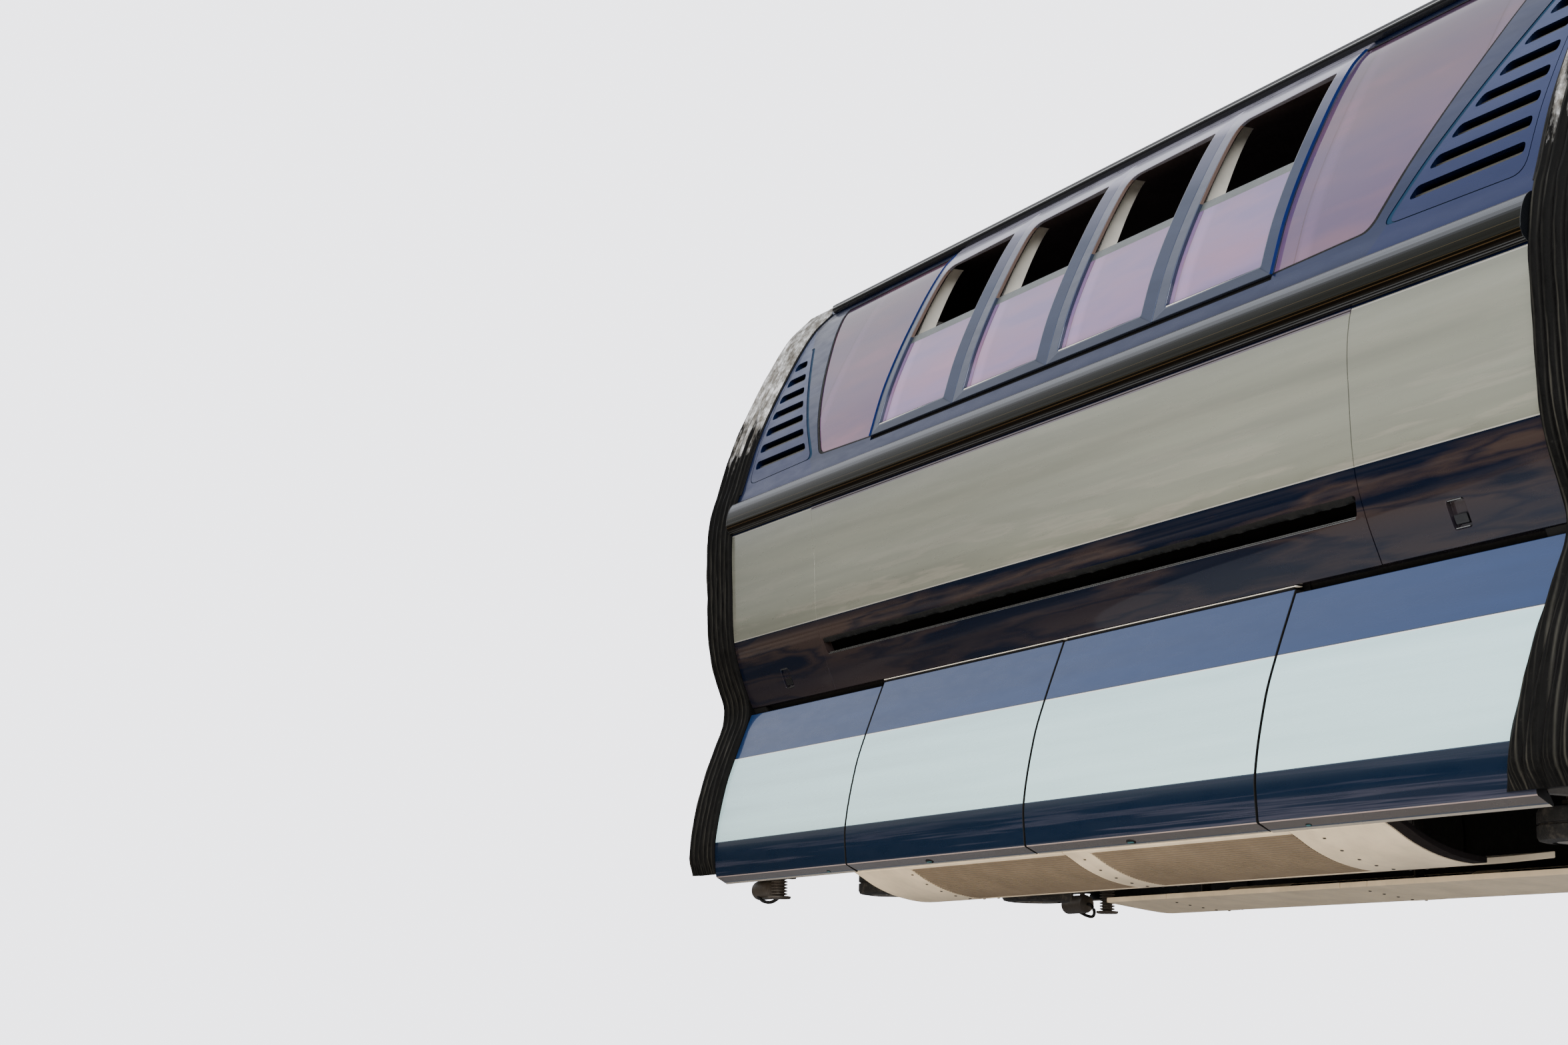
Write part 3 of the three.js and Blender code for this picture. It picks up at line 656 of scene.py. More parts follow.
# Painted highlights in the skirt bands: the pale band below -0.834 m on the lip's rolled foot, and the thin
# cream band from -0.809 m at the lip's top.
SKIRT_BANDS = [
    (-0.900, (0.40, 0.37, 0.32)), (-0.8338, THIN_LINE), (-0.8300, (0.060, 0.050, 0.050)),
    (-0.8088, (0.42, 0.33, 0.31)), (-0.8030, (0.004, 0.012, 0.032)), (-0.6240, THIN_LINE),
    (-0.6200, PALE_EDGE), (-0.6165, (0.60, 0.91, 1.00)), (-0.1640, PALE_EDGE), (-0.1605, THIN_LINE),
    (-0.1565, (0.009, 0.036, 0.125)),
]
# From 1.98 m up the frame paint lightens steadily to a lilac white over the windows: a painted sky sheen.
FRAME_BANDS = [(1.0, FRAME_GREY), (1.98, FRAME_GREY), (2.26, (0.15, 0.155, 0.215)),
               (WINDOW_HIGH + 0.012, (0.42, 0.41, 0.50))]
SASH_TINTS = ((0.25, 0.18, 0.39), (0.31, 0.20, 0.39), (0.34, 0.20, 0.36), (0.40, 0.22, 0.37))
FIXED_TINTS = ((0.12, 0.075, 0.17), (0.15, 0.085, 0.17), (0.18, 0.095, 0.165), (0.26, 0.115, 0.19))
LOOKS = {
    None: (None, "dark_trim"),
    # On the side panels the rolled top edge, from 1.066 m up, is painted darker grey violet: painted shade.
    "side": banded_paint("side_paint", "pearl_paint", STRIPE_BANDS + [(1.066, (0.16, 0.14, 0.17))], 0.0, 1.2,
                         0.40, streaks=0.16, film=painted_stripe_reflections),
    "end": banded_paint("end_panel_paint", "pearl_paint", STRIPE_BANDS + [(1.078, EDGE_HIGHLIGHT)], 0.0, 1.2, 0.40,
                        streaks=0.16, film=painted_stripe_reflections),
    "skirt": banded_paint("skirt_paint", "pale_paint", SKIRT_BANDS, -0.90, 0.20, 0.25, 0.28, coat=0.75,
                          film=painted_skirt_reflections),
    "upper": banded_paint("upper_paint", "blue_paint", [(1.0, (0.009, 0.021, 0.075))], 1.0, 2.6, 0.75,
                          streaks=0.14, coat=0.35, film=louvre_film),
    "frame": banded_paint("window_frame_paint", "frame_paint", FRAME_BANDS, 1.0, 2.6, 0.60, coat=0.6,
                          interpolation="LINEAR"),
    "roof": banded_paint("roof_paint", "navy_paint", [(2.0, (0.03, 0.05, 0.11))], 2.0, 2.8, 0.5, 0.38),
    "rubber": rubber_of_bellows(),
    "glass": tinted_glass("tinted_glass", SASH_TINTS, 0.6),
    "fixed_glass": tinted_glass("fixed_tinted_glass", FIXED_TINTS, 0.3),
    "moulding": moulding_metal(),
    "fabric": seat_fabric(),
    "black": plain("black_rubber", "dark_trim", (0.006, 0.006, 0.006), 0.6, dust=0.02, shine=0.2),
    "trim": plain("black_gloss", "dark_trim", (0.006, 0.007, 0.009), 0.25, dust=0.02, coat=0.3),
    "silver": plain("bright_metal", "dark_trim", (0.62, 0.62, 0.60), 0.25, 1.0, dust=0.08),
    "blade": plain("louvre_blade", "dark_trim", (0.10, 0.095, 0.075), 0.42, 0.7, dust=0.05, shine=0.2),
    "groove": plain("louvre_groove", "blue_paint", (0.010, 0.040, 0.085), 0.60, relief=0.02, dust=0.0,
                    shine=0.1),
    "edge_blue": plain("edge_blue", "blue_paint", (0.008, 0.026, 0.150), 0.32, 0.3, relief=0.02, dust=0.0,
                       shine=0.2),
    "teal": plain("teal_metal", "dark_trim", (0.06, 0.22, 0.25), 0.35, 0.6, dust=0.05),
    "cream": plain("cream_paint", "cream_paint", (0.88, 0.75, 0.55), 0.42, dust=0.25),
    "grille": plain("grille_metal", "bogie_steel", (0.21, 0.165, 0.115), 0.5, 0.2, dust=0.3),
    "pillar": plain("pillar_lining", "cream_paint", (0.86, 0.83, 0.74), 0.5, dust=0.02),
    "reveal": plain("window_reveal", "frame_paint", (0.14, 0.095, 0.08), 0.5),
    "rail": plain("sash_rail", "dark_trim", (0.165, 0.185, 0.185), 0.38, 0.5),
    "steel": plain("bogie_steel", "bogie_steel", (0.075, 0.068, 0.060), 0.55, 0.5, 90, 0.3, 0.45),
    "axle": plain("worn_steel", "bogie_steel", (0.30, 0.28, 0.25), 0.38, 0.9, dust=0.3),
    "damper": plain("damper_paint", "bogie_steel", (0.060, 0.052, 0.045), 0.45, 0.3, dust=0.25),
    "tyre": plain("tyre_rubber", "tyre_rubber", (0.016, 0.016, 0.016), 0.75, 0.0, 110, 0.3, 0.4),
    "lining": plain("inner_lining", "cream_paint", (0.40, 0.38, 0.40), 0.6, dust=0.05),
    "dark": plain("dark_inside", "dark_trim", (0.010, 0.008, 0.008), 0.9, dust=0.0, shine=0.1),
    # Near-black matt finish for the louvre backings and slot troughs: painted shade.
    "hollow": plain("black_hollow", "dark_trim", (0.0015, 0.0015, 0.0015), 1.0, dust=0.0, shine=0.0),
    "umber": plain("umber_lining", "dark_trim", (0.050, 0.036, 0.036), 0.9, dust=0.0, shine=0.1),
    "floor": plain("floor_covering", "dark_trim", (0.16, 0.16, 0.17), 0.7, grain=150),
    "seat_shell": plain("seat_shell", "seat_fabric", (0.30, 0.31, 0.34), 0.4, coat=0.3),
}


# Upper side: stepped glazed opening, louvre panels with slots

FOOT, HEAD = 2.318, 2.940
SILL_INNER, SILL_OUTER, FOOT_CORNER, RAKE_BOW = 0.020, 0.036, 0.060, 0.030
LOUVRE_COUNT, LOUVRE_LOW, LOUVRE_PITCH, LOUVRE_HEIGHT = 7, 1.4515, 0.100, 0.049
LOUVRE_INNER, LOUVRE_LEAN, LOUVRE_OUTER, LOUVRE_SPREAD = 2.510, 0.084, 3.140, 0.006
LOUVRE_HEAD = 2.185
LOUVRE_BACKING = [(2.46, 1.40), (3.18, 1.40), (3.20, 2.17), (3.10, 2.17)]
GROOVE_RAKE, GROOVE_RIM, GROOVE_DEPTH = 0.033, 0.004, 0.006


def glazed_half(inset, step):
    """Right half of the glazed opening's outline, from its sill to its head."""
    low, high = GLAZING_LOW + inset, GLAZING_HIGH - inset
    foot, head = FOOT - inset, HEAD - inset
    rake = (head - foot) / (high - low - SILL_OUTER)
    corner_end = (foot + FOOT_CORNER * rake, low + SILL_OUTER + FOOT_CORNER)
    corner = curve((foot - FOOT_CORNER, low + SILL_OUTER), (foot, low + SILL_OUTER), corner_end, 8)
    bow = ((foot + head) / 2 + RAKE_BOW * 0.85, (low + SILL_OUTER + high) / 2 - RAKE_BOW * 0.5)
    return [(step, low + SILL_INNER)] + corner + curve(corner_end, bow, (head, high), 16)[1:]


def glazed_opening():
    step = FRAME_EDGE + FIT
    right = [(step, GLAZING_LOW)] + glazed_half(0, step)
    return right + mirrored(right)


def louvre_panels(grow, rake_grow):
    head = LOUVRE_FOOT + LOUVRE_RAKE * (LOUVRE_HEAD - LOUVRE_BASE)
    corners = [(LOUVRE_FOOT - rake_grow, LOUVRE_BASE - grow), (3.165 + grow, 1.372 - grow),
               (3.207 + grow, 2.110 + grow), (head - rake_grow * 0.8, LOUVRE_HEAD + grow)]
    return both([rounded(corners, (0.060, 0.070, 0.090, 0.040), 6)])


def louvre_rows():
    """Height of each louvre slot's foot, and the X of its two ends."""
    return [(LOUVRE_LOW + i * LOUVRE_PITCH, LOUVRE_INNER + i * LOUVRE_LEAN, LOUVRE_OUTER + i * LOUVRE_SPREAD)
            for i in range(LOUVRE_COUNT)]


def louvre_slots():
    share = LOUVRE_HEIGHT / LOUVRE_PITCH
    outlines = []
    for low, inner, outer in louvre_rows():
        high = low + LOUVRE_HEIGHT
        corners = [(inner, low), (outer, low), (outer + share * LOUVRE_SPREAD, high),
                   (inner + share * LOUVRE_LEAN, high)]
        outlines.append(rounded(corners, (0.030, 0.024, 0.024, 0.022), 6))
    return both(outlines)


def louvre_blades():
    """Narrow blade in each slot, seen as a bronze strip along its lower part."""
    return both([rounded(rectangle(inner + 0.014, outer - 0.010, low + 0.008, low + 0.021), (0.005,) * 4, 3)
                 for low, inner, outer in louvre_rows()])


def upper_side(side_name, side):
    flat = slab([rectangle(-BODY_END, BODY_END, PANEL_TOP + FIT, ROOF_SEAT)], -SHELL, 0)
    groove = slab(louvre_panels(GROOVE_RIM, GROOVE_RAKE), -GROOVE_DEPTH, 0.02)
    boolean(flat, cut(groove, louvre_panels(0, 0), -0.02, 0.03))
    cut(flat, [glazed_opening()])
    cut(flat, louvre_slots())
    if side > 0:
        cut(flat, [rectangle(-DOOR_EDGE, DOOR_EDGE, 1.0, GLAZING_LOW + 0.05)])
    panel(f"upper_side_{side_name}_skin", side, "upper", flat, replaces=[f"upper_side_{side_name}"])
    inlay = slab(louvre_panels(GROOVE_RIM - 0.001, GROOVE_RAKE - 0.001), -GROOVE_DEPTH + 0.0002, -0.0035)
    panel(f"louvre_groove_{side_name}", side, "groove", cut(inlay, louvre_panels(0.001, 0.001)), 0.0008)
    panel(f"louvre_blades_{side_name}", side, "blade", slab(louvre_blades(), -0.044, -0.020), 0.002)
    for end_name, end in ENDS:
        # Near-black backing behind the louvre slots: painted shade.
        backing = slab([on_end(LOUVRE_BACKING, end)], -SHELL - 0.004, -SHELL - 0.001)
        panel(f"louvre_backing_{side_name}_{end_name}", side, "hollow", backing, 0.0005)


# Window frame: four unit frames side by side, each sloping down towards its pane

UNIT_BACK, UNIT_LOW = -0.010, 0.008
FRAME_FOOT = GLAZING_LOW + 0.023
DOOR_HEAD = 2.3445
# columns: name, look, reach beyond the window's edge, Z from, to, depth from, to, softening
SASH_PARTS = (
    ("sash_pane", "glass", 0.006, WINDOW_LOW - 0.008, SASH_TOP - 0.012, -0.0245, -0.0108, 0.001),
    ("sash_rail", "rail", 0.006, SASH_TOP - 0.046, SASH_TOP, -0.043, -0.0104, 0.003),
    ("sash_foot", "black", 0.006, WINDOW_LOW - 0.055, WINDOW_LOW - 0.004, -0.045, -0.0242, 0.003),
    ("sill_bead", "pillar", -0.003, WINDOW_LOW + 0.0012, WINDOW_LOW + 0.0075, -0.0105, 0.005, 0.001),
    ("sill_gasket", "black", -0.003, WINDOW_LOW + 0.0077, WINDOW_LOW + 0.012, -0.0105, 0.001, 0.0008),
)


def window_hole(x, grow=0.0, crook=0.075):
    """Outline of one window; its upper corner on the left is well rounded."""
    half = WINDOW_WIDTH / 2 + grow
    corners = rectangle(x - half, x + half, WINDOW_LOW - grow, WINDOW_HIGH + grow)
    return rounded(corners, (0.012, 0.012, 0.014, crook + grow), 6)


def unit_frame(name, side, x, x0, x1, top=GLAZING_HIGH - FIT, replaces=()):
    """Frame of one window: nearly flush on its left, rising to a ridge on its right.

    The wall at the upper left of its opening is brown.
    """
    def rise(u):
        return UNIT_LOW + (FRAME_PROUD - UNIT_LOW) * min(max((u - x) / WINDOW_WIDTH + 0.5, 0.0), 1.0)

    def outer(inset, drop):
        corners = rectangle(x0 + inset, x1 - inset, FRAME_FOOT + inset, top - inset)
        return [(u, UNIT_LOW - drop, z) for u, z in rounded(corners, (0.004,) * 4, 6)]

    def inner(grow, drop):
        return [(u, rise(u) - drop, z) for u, z in window_hole(x, grow)]

    def back(loop):
        return [(u, UNIT_BACK, z) for u, _, z in loop]

    loops = [back(outer(0, 0)), outer(0, 0.002), outer(0.002, 0), inner(0.006, 0), inner(0.001, 0.001),
             inner(0, 0.003), back(inner(0, 0))]
    unit = smooth(bend(lofted([loops], looped=True), side), 8, weighted=False)
    piece(unit, name, "frame", replaces=replaces)
    middle = sum(v.co.x for v in unit.data.vertices) / len(unit.data.vertices)

    def upper_left(face):
        return face.normal.x > 0.6 and face.center.x < middle and face.center.z > SASH_TOP

    repaint(unit, "reveal", upper_left)


def window_centres(side):
    return WINDOW_CENTRES if side < 0 else [WINDOW_CENTRES[0], WINDOW_CENTRES[3]]


def window_frame(side_name, side):
    half, line = (WINDOW_WIDTH + WINDOW_POST) / 2, 0.0015
    for number, x in enumerate(window_centres(side)):
        x0, x1 = max(x - half, -FRAME_EDGE) + line, min(x + half, FRAME_EDGE) - line
        if side > 0:
            x0, x1 = (x0, -DOOR_EDGE) if x < 0 else (DOOR_EDGE, x1)
        unit_frame(f"window_unit_{side_name}_{number + 1}", side, x, x0, x1,
                   replaces=first_only(number, f"window_frame_{side_name}"))
    low, high = GLAZING_LOW + FIT, GLAZING_HIGH - FIT
    seal = slab([rectangle(-FRAME_EDGE, FRAME_EDGE, low, high)], -FRAME_PROUD, -0.0115)
    cut(seal, [window_hole(x, 0.020, 0.060) for x in window_centres(side)])
    if side > 0:
        cut(seal, [rectangle(-DOOR_EDGE, DOOR_EDGE, 1.3, 2.345)])
    panel(f"window_seal_{side_name}", side, "black", seal, 0.001)
    for end_name, end in ENDS:
        x0, x1 = between(end, FRAME_EDGE - 0.0005, FRAME_EDGE + 0.0012)
        strip(f"frame_edge_{side_name}_{end_name}", side, "edge_blue", x0, x1, FRAME_FOOT, high,
              0.0005, UNIT_LOW + 0.007, 0.0005)
    strip(f"window_cornice_{side_name}", side, "frame", -FRAME_EDGE, FRAME_EDGE, GLAZING_HIGH + 0.0005,
          ROOF_SEAT - 0.004, 0.0005, 0.0095)
    if side > 0:
        strip("door_header", side, "frame", FIT - DOOR_EDGE, DOOR_EDGE - FIT, DOOR_HEAD + 0.002, high,
              -0.010, FRAME_PROUD, 0.002)


def sash_glass(side_name, side):
    nodes = ["sash_windows_near"] if side < 0 else ["sash_window_far_left", "sash_window_far_right"]
    for number, x in enumerate(window_centres(side)):
        for name, look, reach, z0, z1, low, high, soften in SASH_PARTS:
            half = WINDOW_WIDTH / 2 + reach
            replaced = first_only(number, *nodes) if look == "glass" else ()
            strip(f"{name}_{side_name}_{number + 1}", side, look, x - half, x + half, z0, z1,
                  low, high, soften, replaced)


def fixed_glass(side_name, side, end_name, end):
    start = FRAME_EDGE + FIT

    def outline(inset, shift=0.0):
        right = glazed_half(inset, start) + [(start, GLAZING_HIGH - inset)]
        return on_end([(x - shift, z) for x, z in right], end)

    name = f"{side_name}_{end_name}"
    panel(f"fixed_pane_{name}", side, "fixed_glass", slab([outline(0.002)], -0.016, -0.006), 0.001,
          [f"fixed_window_{name}"])
    gasket = cut(slab([outline(0.0004)], -0.0055, -0.0010), [outline(0.009, 0.009)])
    panel(f"fixed_gasket_{name}", side, "black", gasket, 0.0008)


# Lower side panels

LATCH = (2.675, 2.770, 0.190, 0.290)      # X from, to, Z from, to


def seam_outline(grow):
    low, high = WAIST - 0.02, PANEL_TOP + 0.02
    right = [(SEAM_X + grow, low)]
    for t in steps(0, 1, 10):
        right.append((SEAM_X + grow + SEAM_FLARE * t * t, SEAM_FLARE_FROM + (high - SEAM_FLARE_FROM) * t))
    return right + mirrored(right)


def slot_outline():
    foot = SLOT_END - 0.020
    corners = [(-foot, SLOT_LOW), (foot, SLOT_LOW), (SLOT_END, SLOT_HIGH), (-SLOT_END, SLOT_HIGH)]
    return rounded(corners, (0.030, 0.030, 0.012, 0.012), 6)


def rough_lip(name, side, x0, x1):
    """Uneven rubber along the slot's upper edge."""
    rows = []
    for x in steps(x0, x1, int((x1 - x0) / 0.02)):
        wander = random.uniform(-0.0045, 0.0045)
        swell = random.uniform(-0.002, 0.003)
        # columns: distance out of the skin, height over the slot's upper edge
        section = [(-0.030, 0.002), (0.002 + swell, 0.001), (0.004 + swell, -0.008),
                   (-0.006, -0.020 + wander), (-0.030, -0.014)]
        rows.append([(x, side * (side_width(SLOT_HIGH + z) + d), SLOT_HIGH + z) for d, z in section])
    piece(smooth(lofted([rows]), 60, weighted=False), name, "black")


def slot_trim(name, side, x0, x1):
    wall = 0.004
    around = rectangle(x0 - wall, x1 + wall, SLOT_LOW - wall, SLOT_HIGH + wall)
    trough = slab([around], -SLOT_DEPTH - wall, -SHELL - 0.0005)
    cut(trough, [rectangle(x0, x1, SLOT_LOW, SLOT_HIGH)], -SLOT_DEPTH)
    # Near-black trough: painted shade inside the slot.
    panel(f"slot_trough_{name}", side, "hollow", trough, 0.001)
    for row, (low, proud) in enumerate(((SLOT_LOW + 0.0005, 0.002), (SLOT_LOW + 0.0075, -0.004))):
        strip(f"slot_edge_{name}_{row + 1}", side, "silver", x0 + 0.03, x1 - 0.03, low, low + 0.003,
              -0.035, proud, 0.0008)


def centre_panel(side_name, side):
    flat = slab([rectangle(-2.4, 2.4, WAIST, PANEL_TOP)], -SHELL, 0)
    cut(flat, [seam_outline(0)], operation="INTERSECT")
    cut(flat, [slot_outline()])
    cut(flat, [rectangle(-2.4, 2.4, 1.0760, 1.0810)], -0.006)
    spans = [("", -SLOT_END, SLOT_END)]
    if side > 0:
        cut(flat, [rectangle(-DOOR_EDGE, DOOR_EDGE, SLOT_LOW - 0.0002, 1.2)])
        spans = [("_1", -SLOT_END, -DOOR_EDGE - 0.004), ("_2", DOOR_EDGE + 0.004, SLOT_END)]
    panel(f"centre_panel_{side_name}_skin", side, "side", flat, 0.0045, [f"centre_panel_{side_name}"])
    for tag, x0, x1 in spans:
        slot_trim(side_name + tag, side, x0, x1)
        rough_lip(f"slot_lip_{side_name}{tag}", side, x0 + 0.012, x1 - 0.012)
    strip(f"waist_bead_{side_name}", side, "pillar", -FRAME_EDGE, FRAME_EDGE, WAIST - 0.0070, WAIST - 0.0035,
          -0.030, 0.0015)


def end_panel(side_name, side, end_name, end):
    name = f"{side_name}_{end_name}"
    x0, x1, z0, z1 = LATCH
    flat = slab([on_end(rectangle(2.2, BODY_END, WAIST, PANEL_TOP), end)], -SHELL, 0)
    cut(flat, [seam_outline(SEAM)])
    cut(flat, [on_end(rounded(rectangle(*LATCH), (0.012,) * 4, 3), end)], -0.022)
    panel(f"end_panel_{name}_skin", side, "end", flat, 0.0045, [f"end_panel_{name}"])
    handle = rounded(rectangle(x0 + 0.012, x1 - 0.012, z0 + 0.016, z0 + 0.050), (0.006,) * 4, 3)
    panel(f"latch_handle_{name}", side, "trim", slab([on_end(handle, end)], -0.0215, -0.004))
    for row, z in enumerate((z0 + 0.0008, z1 - 0.0042)):
        strip(f"latch_bead_{name}_{row + 1}", side, "silver", *between(end, x0 + 0.010, x1 - 0.010),
              z, z + 0.0034, -0.018, 0.0012, 0.0008)


# Skirts

FOLD_Z, FOLD_END = -0.792, (1.209, -0.8105)
FLAP_LATCH = 0.775                # from a flap's left end, seen from outside
SKIRT_LATCH = 1.970


def skirt(name, side, top, x0, x1, hang=0.0, body="car_body"):
    """Skirt from its top round the fold to the rolled edge of its lip; rubber on its ends and inner face."""
    outer = [(skirt_width(z), z) for z in heights(FOLD_Z, top)][::-1]
    fold = curve(outer[-1], (1.2228, SKIRT_BOTTOM - 0.001), FOLD_END, 5)[1:]
    edge = curve((LIP_Y + 0.006, LIP_Z + 0.0015), (LIP_Y - 0.002, LIP_Z - 0.002),
                 (LIP_Y - 0.003, LIP_Z + 0.008), 4)
    inner = [(skirt_width(z) - SHELL, z) for z in heights(SKIRT_BOTTOM + 0.03, top, 0.06)]
    section = outer + fold + [(y, z - hang) for y, z in edge] + inner
    obj = smooth(bevel(bar(on_side(section, side), x0, x1), 0.0035, 60, 3))
    piece(obj, f"{name}_skin", "skirt", body, [name])

    def lined(face):
        y, z = abs(face.center.y), face.center.z
        return abs(face.normal.x) > 0.35 or (z > SKIRT_BOTTOM and y < skirt_width(z) - 0.020)

    repaint(obj, "black", lined)


def skirts(side_name, side, end_name, end):
    name, half_seam = f"{side_name}_{end_name}", 0.007
    flap = f"skirt_flap_{name}"
    skirt(f"end_skirt_{name}", side, END_SKIRT_TOP, *between(end, FRAME_EDGE + half_seam, BODY_END), 0.004)
    skirt(flap, side, SKIRT_TOP - 0.004, *between(end, half_seam, FRAME_EDGE - half_seam), body=flap)
    run = between(end, SEAM + 0.02, FRAME_EDGE - SEAM - 0.02)
    bead = tube([(x, side * 1.015, 0.122) for x in run], 0.0088, 12)
    piece(smooth(bead, 40), f"hinge_bead_{name}", "black", flap)
    flap_start = -FRAME_EDGE if side * end > 0 else 0.0
    piece(latch_on_lip(-side * (flap_start + FLAP_LATCH), side), f"lip_latch_{name}", body=flap)
    piece(latch_on_lip(end * SKIRT_LATCH, side, 0.6), f"skirt_latch_{name}")
    seam_strip(f"skirt_seam_{name}", side, *between(end, FRAME_EDGE - 0.030, FRAME_EDGE + 0.030))
    strip(f"waist_shade_{name}", side, "black", *between(end, FRAME_EDGE + 0.034, BODY_END - 0.0005),
          0.05, 0.165, -0.058, -0.0455)
    strip(f"waist_plug_{name}", side, "black", *between(end, BODY_END - 0.150, BODY_END - 0.0005),
          0.0965, 0.1305, -0.050, -0.006, 0.004)


def seam_strip(name, side, x0, x1):
    """Rubber strip behind a skirt seam, held at its top against the panel above."""
    outer = [(skirt_width(z) - SHELL - 0.008, z) for z in heights(-0.775, 0.10, 0.05)[::-1]]
    lip = [(1.162, -0.800), (1.160, -0.812), (1.150, -0.812), (1.148, -0.795)]
    inner = [(skirt_width(z) - SHELL - 0.014, z) for z in heights(-0.770, 0.10, 0.05)]
    head = [(side_width(z) - SHELL - gap, z) for z, gap in ((0.17, 0.014), (0.17, 0.0005), (0.14, 0.0005))]
    rail(name, "black", on_side(outer + lip + inner + head, side), x0, x1, 0.002)


def latch_on_lip(x, side, size=1.0):
    """Small oval latch let into the lip under a skirt."""
    fold, lip = Vector((0, *FOLD_END)), Vector((0, LIP_Y, LIP_Z))
    middle, run = (fold + lip) / 2, (lip - fold).normalized()
    out = Vector((0, -run.z, run.y))

    def place(u, v, w):
        point = middle + run * v + out * w
        return (x + u, side * point.y, point.z)

    oval = [(0.030 * size * math.cos(a), 0.016 * size * math.sin(a)) for a in turns(20)]
    grip = rectangle(-0.020 * size, 0.020 * size, -0.004, 0.004)
    parts = []
    for look, outline, low, high, soften in (("black", oval, -0.006, 0.0035, 0.0012),
                                             ("teal", grip, 0.001, 0.0060, 0.001)):
        parts.append(bevel(prism([outline], place, low, high), soften, 50))
        parts[-1].data.materials.append(LOOKS[look][0])
    return smooth(join(parts), 40)


# Belt moulding

MOULDING_LOW, MOULDING_HIGH, MOULDING_PROUD = 1.092, 1.274, 0.045
MOULDING_MIDDLE = (MOULDING_LOW + MOULDING_HIGH) / 2
MOULDING_END = BODY_END - 0.004           # caps close the last 4 mm
# columns: name, side, from, to, capped ends
MOULDINGS = (
    ("near", -1, -MOULDING_END, MOULDING_END, ENDS),
    ("far_left", 1, -MOULDING_END, -DOOR_EDGE - FIT, ENDS[:1]),
    ("far_right", 1, DOOR_EDGE + FIT, MOULDING_END, ENDS[1:]),
)


def moulding_section(side, back=FIT):
    """Rounded section with a groove low down and a ridge above it."""
    points = []
    for degrees in steps(-90, 90, 30):
        angle = math.radians(degrees)
        z = MOULDING_MIDDLE + (MOULDING_HIGH - MOULDING_LOW) / 2 * math.sin(angle)
        proud = MOULDING_PROUD * math.cos(angle) ** 0.8
        if -75 < degrees < -58:
            proud -= 0.004
        if -35 < degrees < -28:
            proud += 0.0025
        points.append((side_width(z) + FIT + 0.002 + proud, z))
    seat = [(side_width(z) + back, z) for z in heights(MOULDING_LOW, MOULDING_HIGH, 0.03)[::-1]]
    return on_side(points + seat, side)


def mouldings():
    for name, side, x0, x1, capped in MOULDINGS:
        rail(f"moulding_{name}", "moulding", moulding_section(side), x0, x1, 0.002, 70, 34,
             replaces=[f"belt_moulding_{name}"])
        grown = []
        for y, z in moulding_section(side, 0.0006):
            grow = side * 0.0012 if abs(y) > side_width(z) + 0.002 else 0
            grown.append((y + grow, MOULDING_MIDDLE + (z - MOULDING_MIDDLE) * 1.01))
        for end_name, end in capped:
            x0, x1 = between(end, MOULDING_END, BODY_END)
            rail(f"moulding_{name}_cap_{end_name}", "trim", grown, x0, x1, 0.0015)


# Roof

RAIL_SECTION = [(0.5845, 2.4405), (0.5965, 2.452), (0.600, 2.460), (0.600, 2.467), (0.5965, 2.4695),
                (0.600, 2.472), (0.598, 2.484), (0.585, 2.494), (0.566, 2.4985), (0.560, 2.4963),
                (0.5755, 2.470)]
# RAIL_LINE is a thin bright-metal strip along the black roof rail that stands for the rail's highlight: a
# painted highlight.
RAIL_LINE = [(0.5968, 2.4670), (0.6015, 2.4675), (0.6015, 2.4712), (0.5968, 2.4718)]
RAIL_END = BODY_END - 0.045


def roof():
    outer = [(0.560 * t, 2.4963 + 0.069 * (1 - t * t)) for t in steps(-1, 1, 40)]
    under = [(0.514 * t, 2.4623 + 0.055 * (1 - t * t)) for t in steps(1, -1, 16)]
    edge = [(0.574, 2.470), (0.5835, 2.4403), (0.540, 2.4403)]
    shell = bar(outer + edge + under + mirrored(edge), -BODY_END, BODY_END)
    for x in steps(-2.4, 2.4, 4):
        boolean(shell, block(x - 0.002, x + 0.002, -0.7, 0.7, 2.50, 2.70, 0))
    piece(smooth(bevel(tidy(shell), 0.002, 40), 30), "roof_skin", "roof", replaces=["roof_shell"])
    for side_name, side in SIDES:
        for tag, look, section, reach, soften in (("", "trim", RAIL_SECTION, RAIL_END, 0.002),
                                                  ("_line", "silver", RAIL_LINE, RAIL_END - 0.003, 0)):
            rail(f"roof_rail{tag}_{side_name}", look, on_side(section, side), -reach, reach, soften, sharp=30)


# Bellows

STEPS_PER_FOLD, FOLD_RISE, BELLOWS_WALL = 8, 0.026, 0.055
FOOT_Z = SKIRT_BOTTOM + 0.02
WAIST_FROM, WAIST_TO = 0.020, 0.230
SAG_FROM, SAG_PUSH, SAG_BULGE = 0.35, 0.14, 0.035
CROWN = [(0.560, 2.462), (0.490, 2.503), (0.40, 2.529), (0.30, 2.548), (0.20, 2.560), (0.10, 2.5675),
         (0, 2.570)]


def arch_points():
    """Half of the arch, from its foot over the skirt, the side and the roof edge to the crown."""
    foot = [(skirt_width(z), z) for z in heights(FOOT_Z, WAIST_FROM, 0.03)]
    wall = [(side_width(z), z) for z in heights(WAIST_TO, 2.40, 0.03)]
    return foot + curve(foot[-1], (1.022, 0.120), wall[0], 8)[1:-1] + wall + CROWN


